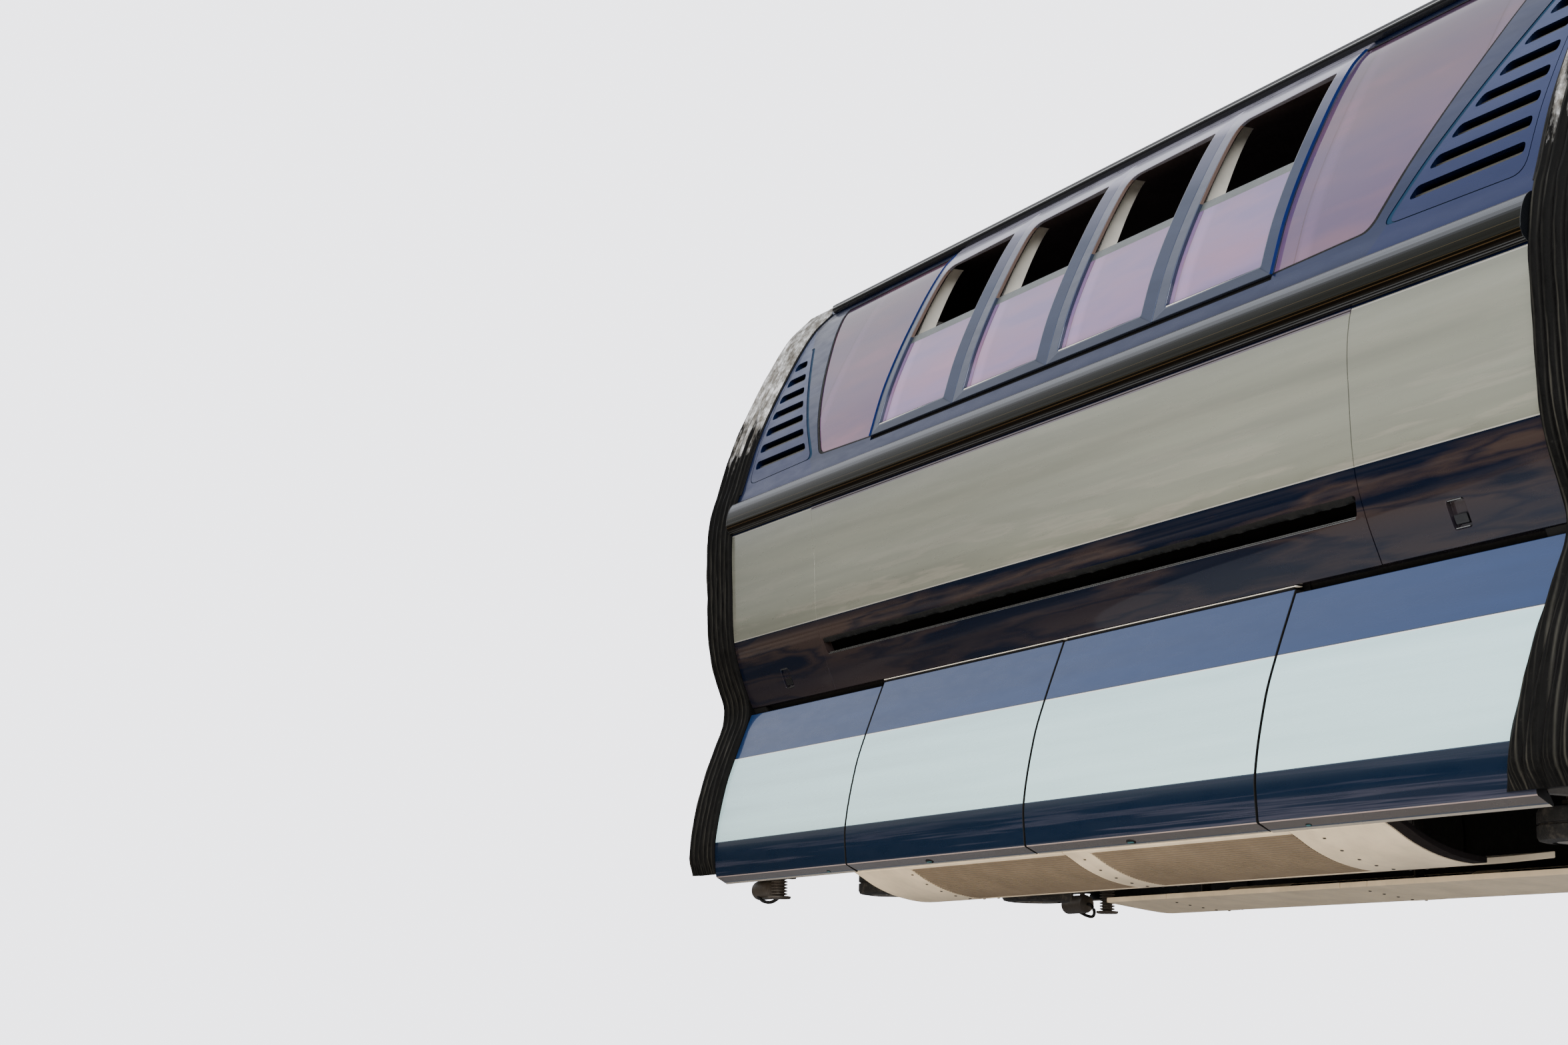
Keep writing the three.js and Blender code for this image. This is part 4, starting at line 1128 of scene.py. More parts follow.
def arch(offset, half):
    """Arch from the near foot to the far foot, stood off by a distance or by a function of the place."""
    near, far = [], []
    for i, (y, z) in enumerate(half):
        before, after = half[max(i - 1, 0)], half[min(i + 1, len(half) - 1)]
        run = Vector((after[0] - before[0], after[1] - before[1])).normalized()
        for side, line in ((-1, near), (1, far)):
            distance = offset(side * y, z) if callable(offset) else offset
            line.append((side * max(y + run.y * distance, 0), z - run.x * distance))
    return near[:-1] + far[::-1]


def sag(end, y, z):
    """Share of the slack that lets the right bellows' near foot lie over the end skirt."""
    if end < 0 or y > 0 or z > SAG_FROM:
        return 0.0
    return ((SAG_FROM - z) / (SAG_FROM - FOOT_Z)) ** 2


def bellows(end_name, end):
    half = arch_points()
    start = BODY_END + FIT

    def ring(x, offset, push=0.0, wander=0.0):
        points = []
        for i, (y, z) in enumerate(arch(offset, half)):
            scale = 1 + wander * math.sin(i * 0.9 + x * 160) * math.sin(i * 0.23 + 1.3 * math.sin(x * 230))
            points.append((end * (x - push * sag(end, y, z)), y * scale, z))
        return points

    rings = []
    for t in steps(0, 1, FOLDS * STEPS_PER_FOLD):
        wave = abs(math.sin(math.pi * FOLDS * t)) ** 0.8

        def stand_off(y, z):
            foot = min(1.0, 0.2 + (z - FOOT_Z) / 0.10)
            return 0.004 + FOLD_RISE * wave * foot + SAG_BULGE * min(t / 0.15, 1.0) * foot * sag(end, y, z)

        x = start + (BELLOWS_END - start) * t
        rings.append(ring(x, stand_off, SAG_PUSH * (1 - t) ** 2, 0.0025 * wave))
    rings += [ring(BELLOWS_END, -BELLOWS_WALL), ring(start, -BELLOWS_WALL), ring(start, 0.0015),
              ring(start - 0.0005, 0.0016, SAG_PUSH)]
    folds = smooth(lofted([rings], looped=True, around=False), 70, weighted=False)
    piece(folds, f"bellows_{end_name}_folds", "rubber", replaces=[f"bellows_{end_name}"])
    clamp_bands(end_name, end, [point for point in half if point[1] > 1.29])


def clamp_bands(end_name, end, half):
    """Two black bands that clamp the bellows over the edge of the body."""
    for number, (inner, outer, proud) in enumerate(((3.2285, 3.2365, 0.004), (3.2405, 3.2490, 0.006))):
        section = ((inner, 0.0010), (inner, proud), (outer, proud), (outer, 0.0010))
        loops = [[(end * x, y, z) for y, z in arch(offset, half)] for x, offset in section]
        band = smooth(lofted([loops], looped=True, around=False), 50)
        piece(band, f"clamp_band_{end_name}_{number + 1}", "black", slot="bellows_rubber")


# Belly pans: riveted cream panels with two ribbed grilles, shaped over Y

# columns: distance from the middle, height of the pan's underside
BELLY_LINE = (
    (0.345, -0.925), (0.600, -0.957), (0.720, -0.967), (0.800, -0.962), (0.890, -0.945),
    (0.960, -0.923), (1.030, -0.893), (1.095, -0.856), (1.132, -0.837),
)
BELLY_IN, BELLY_OUT, BELLY_THICK = 0.345, 1.132, 0.025
GRILLE_IN, GRILLE_EDGE = 0.735, 0.723
# columns: from, to, X of the rivets, which a grille doesn't have
BELLY_PANELS = (
    (-1.790, -1.240, -1.285), (-1.240, 0.160, None), (0.160, 0.354, 0.257), (0.354, 1.776, None),
    (1.776, 2.350, 1.926),
)
RIB_PITCH, RIB_WIDTH = 0.0135, 0.0055
RIVET_FROM, RIVET_TO, RIVET_COUNT = 0.44, BELLY_OUT - 0.055, 8
RIVET_DOME = ((0.0085, -0.0006), (0.0070, 0.0022), (0.0040, 0.0036))       # radius, depth under the sheet


def belly_z(y):
    return follow(BELLY_LINE, min(max(y, BELLY_IN), BELLY_OUT))


def rivets(name, side, x):
    """Domed rivet heads in a row under the belly."""
    heads = []
    for y in steps(RIVET_FROM, RIVET_TO, RIVET_COUNT):
        heads.append([[(x + radius * math.cos(a), side * (y + radius * math.sin(a)), belly_z(y) - drop)
                       for a in turns(8)] for radius, drop in RIVET_DOME])
    piece(smooth(lofted(heads), 60, weighted=False), name, "steel")


def grille(name, side, x0, x1):
    """Ribs along the car."""
    ribs = []
    y = GRILLE_IN
    while y < BELLY_OUT - 0.024:
        section = [(y + dy, belly_z(y + dy) + dz)
                   for dy, dz in ((0, 0.010), (0, 0.001), (RIB_WIDTH, 0.001), (RIB_WIDTH, 0.010))]
        ribs.append([[(x, side * across, z) for across, z in section] for x in (x0 + 0.006, x1 - 0.006)])
        y += RIB_PITCH
    piece(lofted(ribs), name, "grille")


def belly_sheet(name, side, look, x0, x1, y0, y1, low, soften=0.002, replaces=()):
    """Flat sheet laid on the belly's curve."""
    gap = 0.0015
    sheet = block(x0 + gap, x1 - gap, y0, y1, low, BELLY_THICK, soften)
    sliced(sheet, 1, 0.025, lambda x, y, z: (x, side * y, z + belly_z(y)), side)
    piece(smooth(sheet), name, look, replaces=replaces)


def belly_pan(side_name, side):
    for number, (x0, x1, rivet_x) in enumerate(BELLY_PANELS):
        name = f"belly_{side_name}_{number + 1}"
        if rivet_x is None:
            belly_sheet(f"{name}_backing", side, "dark", x0, x1, GRILLE_EDGE, BELLY_OUT, 0.012, 0.001)
            grille(f"{name}_ribs", side, x0, x1)
            belly_sheet(f"{name}_rim_inner", side, "cream", x0, x1, BELLY_IN, GRILLE_EDGE, 0.0)
            belly_sheet(f"{name}_rim_outer", side, "cream", x0, x1, BELLY_OUT - 0.018, BELLY_OUT, 0.0)
        else:
            belly_sheet(f"{name}_panel", side, "cream", x0, x1, BELLY_IN, BELLY_OUT, 0.0, 0.003,
                        first_only(number, f"belly_pan_{side_name}"))
            rivets(f"{name}_rivets", side, rivet_x)
    belly_sheet(f"belly_{side_name}_end_strip", side, "dark", 2.352, 2.430, GRILLE_IN, BELLY_OUT,
                0.002, 0.003)
    for number, x in enumerate((-1.5, 0.2, 2.0)):
        web = block(x, x + 0.012, side * 0.735, side * 0.790, -0.942, -0.0603, 0.002)
        piece(smooth(web), f"belly_web_{side_name}_{number + 1}", "steel")


# Bogies, in their own frame: X along the car, turned half round at the left end

WHEEL_Y, GUIDE_X, GUIDE_Z, STABILISER_Z = 0.445, 0.480, -0.190, -0.828
SADDLE_INNER, SADDLE_OUTER, SADDLE_LOW, SADDLE_HIGH, SADDLE_END = 0.285, 0.345, -0.100, 0.150, 0.560
HUB_TOP, ARM_END = 0.0705, WHEEL_Y + 0.070
LEG_TOP, LEG_FOOT = -0.045, STABILISER_Z + HUB_TOP
SIDE_TYRE_RADIUS, SIDE_TYRE_HALF = 0.190, 0.065
TYRE_GAP, TYRE_WIDTH = 0.020, 0.205
# columns: X from, to, distance from the middle from, to, Z from, to, softening
SADDLE_BOXES = [
    (-SADDLE_END, SADDLE_END, SADDLE_INNER, SADDLE_OUTER, SADDLE_LOW, SADDLE_HIGH, 0.006),
    (-0.110, 0.110, SADDLE_INNER, SADDLE_OUTER, SADDLE_HIGH - 0.02, TYRE_RADIUS - 0.075, 0.006),
    (-0.110, -0.0605, SADDLE_INNER, SADDLE_OUTER, TYRE_RADIUS - 0.08, TYRE_RADIUS + 0.08, 0.006),
    (0.0605, 0.110, SADDLE_INNER, SADDLE_OUTER, TYRE_RADIUS - 0.08, TYRE_RADIUS + 0.08, 0.006),
    (-0.110, 0.110, SADDLE_INNER, SADDLE_OUTER, TYRE_RADIUS + 0.0605, TYRE_RADIUS + 0.090, 0.006),
    (-0.075, 0.075, SADDLE_OUTER - 0.005, ARM_END, SADDLE_LOW, -0.040, 0.006),
    (-0.062, 0.062, WHEEL_Y - 0.058, ARM_END - 0.008, LEG_FOOT, LEG_TOP, 0.010),
    (-0.075, 0.075, WHEEL_Y - 0.065, ARM_END, LEG_FOOT, LEG_FOOT + 0.022, 0.006),
    (-0.075, 0.075, WHEEL_Y - 0.065, ARM_END, LEG_TOP - 0.020, LEG_TOP + 0.004, 0.006),
    (-0.070, 0.070, WHEEL_Y - 0.062, ARM_END - 0.003, -0.30, -0.286, 0.003),
    (-0.070, 0.070, WHEEL_Y - 0.062, ARM_END - 0.003, -0.52, -0.506, 0.003),
]
for guide_x in (-GUIDE_X, GUIDE_X):
    SADDLE_BOXES += [
        (guide_x - 0.070, guide_x + 0.070, SADDLE_OUTER - 0.005, ARM_END, GUIDE_Z + HUB_TOP, -0.055, 0.006),
        (guide_x - 0.008, guide_x + 0.008, SADDLE_OUTER, SADDLE_OUTER + 0.10, -0.056, 0.045, 0.003),
    ]
for rib_x in (-0.30, 0.30):
    SADDLE_BOXES.append((rib_x - 0.007, rib_x + 0.007, SADDLE_OUTER, SADDLE_OUTER + 0.028, SADDLE_LOW + 0.01,
                         SADDLE_HIGH - 0.01, 0.002))


def bogie_piece(parts, end, name, look, sharp=35, **facts):
    """Joins parts made in the bogie's frame, moves them to their end of the car and finishes them."""
    obj = smooth(join(parts), sharp)
    turn = Matrix.Rotation(0 if end > 0 else math.pi, 4, "Z")
    obj.data.transform(Matrix.Translation((end * BOGIE_X, 0, 0)) @ turn)
    piece(obj, name, look, **facts)


def bolt_heads(spots, axis, radius, height):
    profile = [(0, 0), (radius, 0), (radius, height * 0.8), (radius * 0.85, height), (0, height)]
    return [turned(profile, 6, axis, spot) for spot in spots]


def weldment(end_name, end, body):
    """Box beams, pedestals, arms and legs of the saddle, with gussets and bolted flanges."""
    parts = []
    for side in (-1, 1):
        parts += [block(x0, x1, side * y0, side * y1, z0, z1, soften)
                  for x0, x1, y0, y1, z0, z1, soften in SADDLE_BOXES]
        spots = [(x, side * (SADDLE_OUTER + 0.001), z)
                 for x in steps(-0.52, 0.52, 13) for z in (SADDLE_LOW + 0.025, SADDLE_HIGH - 0.025)
                 if abs(abs(x) - GUIDE_X) > 0.075 and abs(x) > 0.09]
        parts += bolt_heads(spots, "Y", 0.009, side * 0.008)
    for out in (-1, 1):
        x, reach = out * 0.515, SADDLE_OUTER - 0.005
        parts.append(block(x - 0.045, x + 0.045, -reach, reach, 0.060, SADDLE_HIGH))
        spots = [(out * 0.561, y, z) for y in (-0.24, -0.08, 0.08, 0.24) for z in (0.08, 0.13)]
        parts += bolt_heads(spots, "X", 0.009, out * 0.007)
    bogie_piece(parts, end, f"bogie_weldment_{end_name}", "steel", 32, body=body,
                replaces=[f"bogie_frame_{end_name}"])


def spindles(end_name, end, body):
    parts = []
    for side in (-1, 1):
        for x, z in ((0, STABILISER_Z), (-GUIDE_X, GUIDE_Z), (GUIDE_X, GUIDE_Z)):
            top, foot = z + HUB_TOP + 0.004, z - 0.070
            profile = [(0, foot), (0.028, foot), (0.033, foot + 0.005), (0.033, top), (0, top)]
            parts.append(turned(profile, 28, "Z", (x, side * WHEEL_Y, 0)))
    bogie_piece(parts, end, f"bogie_spindles_{end_name}", "axle", body=body)


def springs(end_name, end, body):
    """Rubber air springs between the arms and the floor."""
    lobes = [(0.036 + 0.014 * abs(math.sin(math.pi * 3 * t)) ** 0.6, -0.040 + 0.235 * t)
             for t in steps(0, 1, 24)]
    foot = [(0, -0.056), (0.050, -0.056), (0.050, -0.044)]
    head = [(0.050, 0.199), (0.050, 0.2164), (0, 0.2164)]
    profile = foot + lobes + head
    spots = [(x, side * (WHEEL_Y + 0.010), 0) for side in (-1, 1) for x in (-GUIDE_X, GUIDE_X)]
    for number, spot in enumerate(spots):
        bogie_piece([turned(profile, 32, "Z", spot)], end, f"bogie_spring_{end_name}_{number + 1}", "black",
                    40, body=body, slot="bellows_rubber")


def motor(end_name, end, body):
    """Finned motor beside the saddle, with its bracket, terminal box, cables and pipes."""
    half, radius, root, y, z = 0.240, 0.125, 0.108, -0.475, 0.078
    # columns: radius, distance from the motor's end
    cover = [(0, 0), (0.060, 0), (0.064, 0.006), (0.100, 0.012), (root, 0.022)]
    profile = [(r, d - half) for r, d in cover]
    for k in range(14):
        x = -half + 0.045 + k * 0.0285
        profile += [(root, x), (radius, x + 0.003), (radius, x + 0.010), (root, x + 0.013)]
    profile += [(r, half - d) for r, d in cover[::-1]]
    parts = [turned(profile, 40, "X", (0, y, z)),
             block(-0.120, 0.120, -0.480, -SADDLE_OUTER + 0.005, 0.020, 0.130),
             block(-0.060, 0.080, y - 0.045, y + 0.045, z + 0.105, z + 0.124, 0.004)]
    bogie_piece(parts, end, f"bogie_motor_{end_name}", "steel", body=body)
    pipes = []
    for x in (-0.03, 0.005, 0.04):
        points = [(x, y + 0.02, z + 0.120), (x, y + 0.05, z + 0.126), (x - 0.02, y + 0.10, z + 0.115),
                  (x - 0.05, -0.352, z + 0.085), (x - 0.12, -0.352, z + 0.050), (x - 0.30, -0.352, z + 0.045)]
        pipes.append(tube(smooth_path(points, 5), 0.0075, 8))
    for side in (-1, 1):
        points = [(-0.54, side * 0.353, -0.06), (-0.30, side * 0.354, -0.075), (0.0, side * 0.354, -0.088),
                  (0.30, side * 0.354, -0.075), (0.54, side * 0.353, -0.06)]
        pipes.append(tube(smooth_path(points, 6), 0.008, 8))
    bogie_piece(pipes, end, f"bogie_pipes_{end_name}", "black", 50, body=body)


def tyre(radius, rim, y0, y1, shoulder, grooves, sides, axis, centre):
    """Tyre turned from its inner bead over the grooved tread and back."""
    flank = [(rim, 0.012), (rim + 0.03, 0.002), (radius - 0.055, 0), (radius - shoulder, 0.004),
             (radius - shoulder * 0.35, shoulder * 0.35), (radius, shoulder)]
    points = [(r, y0 + d) for r, d in flank]
    floor = radius - 0.009
    for k in range(grooves):
        y = y0 + shoulder + (y1 - y0 - 2 * shoulder) * (k + 1) / (grooves + 1)
        points += [(radius, y - 0.005), (floor, y - 0.003), (floor, y + 0.003), (radius, y + 0.005)]
    points += [(r, y1 - d) for r, d in flank[::-1]]
    return turned(points, sides, axis, centre)


def load_wheels(end_name, end):
    node, centre = f"load_wheels_{end_name}", (0, 0, TYRE_RADIUS)
    for number, out in enumerate((1, -1)):
        y0, y1 = sorted((out * TYRE_GAP, out * (TYRE_GAP + TYRE_WIDTH)))
        rubber = tyre(TYRE_RADIUS, 0.238, y0, y1, 0.028, 4, 72, "Y", centre)
        bogie_piece([rubber], end, f"load_tyre_{end_name}_{number + 1}", "tyre", body=node,
                    replaces=first_only(number, node))
        face, back = TYRE_GAP + TYRE_WIDTH, TYRE_GAP + 0.02
        disc = [(0.240, face), (0.240, face - 0.018), (0.226, face - 0.035), (0.150, face - 0.038),
                (0.120, face - 0.030), (0.110, face - 0.022), (0.058, face + 0.034), (0.058, back),
                (0.240, back)]
        spots = [(0.185 * math.cos(a), out * (face - 0.040), TYRE_RADIUS + 0.185 * math.sin(a))
                 for a in turns(10)]
        wheel = turned([(r, out * y) for r, y in disc], 56, "Y", centre)
        bogie_piece([wheel] + bolt_heads(spots, "Y", 0.013, out * 0.016), end,
                    f"load_wheel_disc_{end_name}_{number + 1}", "axle", body=node)
    reach = SADDLE_OUTER + 0.004
    profile = [(0, -reach), (0.050, -reach), (0.0575, 0.006 - reach), (0.0575, reach - 0.006), (0.050, reach),
               (0, reach)]
    bogie_piece([turned(profile, 40, "Y", centre)], end, f"load_axle_{end_name}_shaft", "axle", body=node)


def side_wheel(node, x, y, z, end):
    half, centre = SIDE_TYRE_HALF, (x, y, z)
    rubber = tyre(SIDE_TYRE_RADIUS, 0.118, -half, half, 0.022, 1, 56, "Z", centre)
    bogie_piece([rubber], end, f"{node}_tyre", "tyre", body=node, replaces=[node])
    hub = [(0.0345, 0.010 - half), (0.060, 0.008 - half), (0.070, 0.014 - half), (0.095, 0.014 - half),
           (0.104, 0.004 - half), (0.120, 0.003 - half), (0.120, half - 0.004), (0.095, half + 0.002),
           (0.060, half + 0.005), (0.0345, half + 0.005)]
    spots = [(x + 0.083 * math.cos(a), y + 0.083 * math.sin(a), z - half + 0.015) for a in turns(6)]
    wheel = [turned(hub, 48, "Z", centre)] + bolt_heads(spots, "Z", 0.009, -0.009)
    bogie_piece(wheel, end, f"{node}_hub", "axle", body=node)


DAMPER_X, DAMPER_Y, DAMPER_FOOT = 0.200, 1.030, -0.926
TANK_Y, TANK_Z, TANK_RADIUS, TANK_FROM, TANK_TO = 0.985, -0.868, 0.052, 0.330, 0.545
ARM_LOW, ARM_HIGH = LEG_FOOT + 0.001, LEG_FOOT + 0.022
# columns: X from, to, distance from the middle from, to, Z from, to, softening
DAMPER_BOXES = [
    (-0.050, 0.050, 0.500, 0.700, ARM_LOW, ARM_HIGH, 0.004),
    (-0.030, 0.260, 0.690, 1.080, ARM_LOW, ARM_HIGH, 0.004),
    (0.240, TANK_TO + 0.01, 0.960, 1.010, ARM_LOW, ARM_HIGH, 0.004),
    (-0.006, 0.006, 0.520, 1.000, ARM_HIGH - 0.002, ARM_HIGH + 0.050, 0.002),
    (TANK_FROM + 0.050, TANK_FROM + 0.070, TANK_Y - 0.012, TANK_Y + 0.012, TANK_Z + TANK_RADIUS - 0.004,
     ARM_LOW + 0.002, 0.002),
    (TANK_TO - 0.040, TANK_TO - 0.020, TANK_Y - 0.012, TANK_Y + 0.012, TANK_Z + TANK_RADIUS - 0.004,
     ARM_LOW + 0.002, 0.002),
]
HOSE = [
    (TANK_FROM + 0.004, TANK_Y, TANK_Z), (TANK_FROM - 0.035, TANK_Y, TANK_Z - 0.010),
    (TANK_FROM - 0.050, TANK_Y + 0.010, TANK_Z - 0.045), (TANK_FROM, TANK_Y + 0.030, -0.938),
    (TANK_FROM + 0.080, TANK_Y + 0.040, -0.930), (TANK_TO - 0.050, TANK_Y + 0.030, -0.900),
    (TANK_TO - 0.035, TANK_Y + 0.020, TANK_Z - 0.020),
]


def dampers(end_name, end, body):
    """Spring damper, air tank and hose that hang from an arm on each leg of the bogie."""
    coil = [(0, DAMPER_FOOT), (0.056, DAMPER_FOOT), (0.062, DAMPER_FOOT + 0.005),
            (0.062, DAMPER_FOOT + 0.014), (0.026, DAMPER_FOOT + 0.018)]
    for z in steps(DAMPER_FOOT + 0.020, ARM_LOW - 0.020, 8):
        coil += [(0.028, z), (0.043, z + 0.004), (0.043, z + 0.009), (0.028, z + 0.013)]
    coil += [(0.050, ARM_LOW - 0.004), (0.050, ARM_LOW + 0.002), (0, ARM_LOW + 0.002)]
    tank = [(0, TANK_FROM), (0.030, TANK_FROM + 0.002), (0.046, TANK_FROM + 0.012),
            (TANK_RADIUS, TANK_FROM + 0.030), (TANK_RADIUS, TANK_TO - 0.010), (0.046, TANK_TO), (0, TANK_TO)]
    steel, rubber = [], []
    for side in (-1, 1):
        steel += [block(x0, x1, side * y0, side * y1, z0, z1, soften)
                  for x0, x1, y0, y1, z0, z1, soften in DAMPER_BOXES]
        steel += [turned(coil, 32, "Z", (DAMPER_X, side * DAMPER_Y, 0)),
                  turned(tank, 32, "X", (0, side * TANK_Y, TANK_Z))]
        rubber.append(tube(smooth_path([(x, side * y, z) for x, y, z in HOSE], 5), 0.009, 10))
    bogie_piece(steel, end, f"bogie_dampers_{end_name}", "damper", body=body)
    bogie_piece(rubber, end, f"bogie_hoses_{end_name}", "black", 50, body=body)


def bogie(end_name, end):
    body = f"bogie_frame_{end_name}"
    if end < 0:
        dampers(end_name, end, body)
    for make in (weldment, spindles, springs, motor):
        make(end_name, end, body)
    load_wheels(end_name, end)
    for side_name, side in SIDES:
        y = side * end * WHEEL_Y
        side_wheel(f"stabiliser_wheel_{side_name}_{end_name}", 0, y, STABILISER_Z, end)
        for place, x in (("inner", -GUIDE_X), ("outer", GUIDE_X)):
            side_wheel(f"guide_wheel_{side_name}_{end_name}_{place}", x, y, GUIDE_Z, end)


# Inside: linings, pillars, seats

INSIDE_END, DECK = 3.18, 0.2903
# columns: side, X of the pillars, their half width, spans of the wall lining
LINED_SIDES = {
    "near": ((0.0, -0.86, 0.86, -1.72, 1.72), 0.055, ((-INSIDE_END, INSIDE_END),)),
    "far": ((-0.92, 0.92, -1.72, 1.72), 0.045,
            ((-INSIDE_END, -DOOR_EDGE - 0.02), (DOOR_EDGE + 0.02, INSIDE_END))),
}
PAD_SWELL, PAD_VOXEL, PAD_FRAMES = 0.010, 0.022, 20
PADS = {}
SEAT_LID, SEAT_FRONT, SEAT_BACK = 0.9303, BOGIE_X - 0.525, BOGIE_X + 0.035


def wall_lining(side_name, side):
    posts, half, spans = LINED_SIDES[side_name]
    for number, (x0, x1) in enumerate(spans):
        strip(f"wall_lining_{side_name}_{number + 1}", side, "lining", x0, x1, 0.292, GLAZING_LOW - 0.005,
              -0.100, -0.088, 0.002)
    for number, x in enumerate(posts):
        outline = [(x - half, GLAZING_LOW), (x + half, GLAZING_LOW), (x + half, 1.82),
                   (x - half + 0.004, 2.345), (x - half, 2.345)]
        panel(f"pillar_{side_name}_{number + 1}", side, "pillar", slab([outline], -0.125, -0.047), 0.005)


def ceiling():
    for side_name, side in SIDES:
        strip(f"cant_lining_{side_name}", side, "umber", -INSIDE_END, INSIDE_END, 2.35, 2.43,
              -0.060, -0.050, 0.002)
    top = [(0.50 * t, 2.440 + 0.055 * (1 - t * t)) for t in steps(-1, 1, 24)]
    under = [(y, z - 0.012) for y, z in top[::-1]]
    rail("ceiling_lining", "umber", top + under, -INSIDE_END, INSIDE_END)


def end_lining():
    edge = [(side_width(z) - 0.062, z) for z in heights(0.295, 2.40, 0.05)]
    for end_name, end in ENDS:
        x0, x1 = between(end, INSIDE_END - 0.004, INSIDE_END + 0.016)
        rail(f"end_lining_{end_name}", "lining", edge + mirrored(edge), x0, x1, 0.003, sharp=38)


def pad_mesh(size):
    """Padded block about the origin, made once a size: a smaller block blown up by cloth pressure."""
    if size in PADS:
        return PADS[size].copy()
    dx, dy, dz = (length / 2 - PAD_SWELL for length in size)
    obj = bevel(block(-dx, dx, -dy, dy, -dz, dz, 0), 0.018, segments=3)
    modify(obj, "REMESH", mode="VOXEL", voxel_size=PAD_VOXEL)
    settle(obj)
    before = [v.co.copy() for v in obj.data.vertices]
    cloth = modify(obj, "CLOTH").settings
    cloth.use_pressure = True
    cloth.uniform_pressure_force = 4
    cloth.effector_weights.gravity = 0
    for number in range(1, PAD_FRAMES + 1):
        bpy.context.scene.frame_set(number)
    settle(obj)
    bpy.context.scene.frame_set(1)
    for vert, old in zip(obj.data.vertices, before):
        move = vert.co - old
        move = move.normalized() * min(move.length, PAD_SWELL)
        vert.co = [min(max(old[k] + move[k], -size[k] / 2), size[k] / 2) for k in range(3)]
    modify(obj, "SUBSURF", levels=1)
    settle(obj)
    for polygon in obj.data.polygons:
        polygon.use_smooth = True
    PADS[size] = obj.data.copy()
    discard(obj)
    return PADS[size].copy()


def cushion(name, x0, x1, y0, y1, z0, z1, fill=0.8):
    """Padded cushion that fills the given space."""
    mesh = pad_mesh(tuple(round(length, 4) for length in (x1 - x0, y1 - y0, z1 - z0)))
    mesh.transform(Matrix.Translation(((x0 + x1) / 2, (y0 + y1) / 2, (z0 + z1) / 2)))
    obj = piece(put_in_scene(name, mesh), name, "fabric")


def bench(end_name, end):
    """Bench over the wheel box: moulded carcass, three seat cushions and three backs."""
    def span(start, finish):
        return between(end, start, finish)

    parts = [block(*span(SEAT_FRONT + 0.01, SEAT_BACK), side * 0.420, side * 0.930, DECK, SEAT_LID + 0.001,
                   0.012) for side in (-1, 1)]
    parts += [block(*span(SEAT_FRONT + 0.02, SEAT_BACK), -0.925, 0.925, SEAT_LID, SEAT_LID + 0.018),
              block(*span(SEAT_BACK - 0.030, SEAT_BACK), -0.880, 0.880, SEAT_LID + 0.01, 1.552, 0.012)]
    carcass = smooth(join(parts), 35)
    piece(carcass, f"bench_carcass_{end_name}", "seat_shell", replaces=[f"end_bench_{end_name}"])
    for number, y in enumerate((-0.600, 0.0, 0.600)):
        cushion(f"bench_seat_{end_name}_{number + 1}", *span(SEAT_FRONT, SEAT_BACK - 0.095),
                y - 0.288, y + 0.288, SEAT_LID + 0.0185, SEAT_LID + 0.080)
        cushion(f"bench_back_{end_name}_{number + 1}", *span(SEAT_BACK - 0.090, SEAT_BACK - 0.0305),
                y - 0.275, y + 0.275, SEAT_LID + 0.090, 1.545)


def middle_seat():
    """Back-to-back bench along the middle of the car."""
    parts = [
        block(-1.340, 1.340, -0.290, 0.290, DECK, 0.662, 0.015),
        block(-1.348, 1.348, -0.490, 0.490, 0.660, 0.682, 0.008),
        block(-1.348, 1.348, -0.016, 0.016, 0.680, 1.246, 0.010),
    ]
    piece(smooth(join(parts), 35), "middle_seat_carcass", "seat_shell", replaces=["centre_seat"])
    half = 0.328
    for side_name, side in SIDES:
        for number, x in enumerate((-1.0, -0.335, 0.335, 1.0)):
            for kind, inner, outer, z0, z1 in (("seat", 0.085, 0.498, 0.6825, 0.750),
                                               ("back", 0.0165, 0.080, 0.755, 1.235)):
                cushion(f"middle_{kind}_{side_name}_{number + 1}", x - half, x + half,
                        *sorted((side * inner, side * outer)), z0, z1)


# Door leaves on the far side

def door_leaf(end_name, end):
    side, name = 1, f"door_{end_name}"
    x0, x1 = between(end, 0.0015, DOOR_EDGE - 0.0015)
    centre = WINDOW_CENTRES[1 if end < 0 else 2]
    low = slab([rectangle(x0, x1, SLOT_LOW + 0.0015, GLAZING_LOW - 0.001)], -SHELL, 0)
    cut(low, [rounded(rectangle(*between(end, 0.070, 0.190), 0.92, 0.965), (0.015,) * 4, 4)], -0.020)
    panel(f"{name}_skin", side, "side", low, 0.005, [f"door_leaf_{end_name}"])
    high = slab([rectangle(x0, x1, GLAZING_LOW + 0.0005, DOOR_HEAD)], -SHELL, -0.0105)
    panel(f"{name}_upper", side, "black", cut(high, [window_hole(centre, 0.003, 0.072)]), 0.002)
    unit_frame(f"{name}_window_unit", side, centre, x0, x1, DOOR_HEAD)
    rail(f"{name}_moulding", "moulding", moulding_section(side, 0.0006), x0, x1, 0.003, sharp=34)
    half = WINDOW_WIDTH / 2 + 0.002
    strip(f"{name}_pane", side, "glass", centre - half, centre + half, WINDOW_LOW - 0.002,
          WINDOW_HIGH + 0.002, -0.034, -0.028)
    strip(f"{name}_grip", side, "silver", *between(end, 0.078, 0.182), 0.937, 0.949, -0.017, -0.002, 0.003)


# End walls: stiffeners, jumper boxes and drawbar eyes

WALL_FACE = BODY_END + 0.0005
DRAWBAR_EYE = [(0.018, -0.062), (0.066, -0.062), (0.070, -0.056), (0.070, 0.056), (0.066, 0.062),
               (0.018, 0.062)]


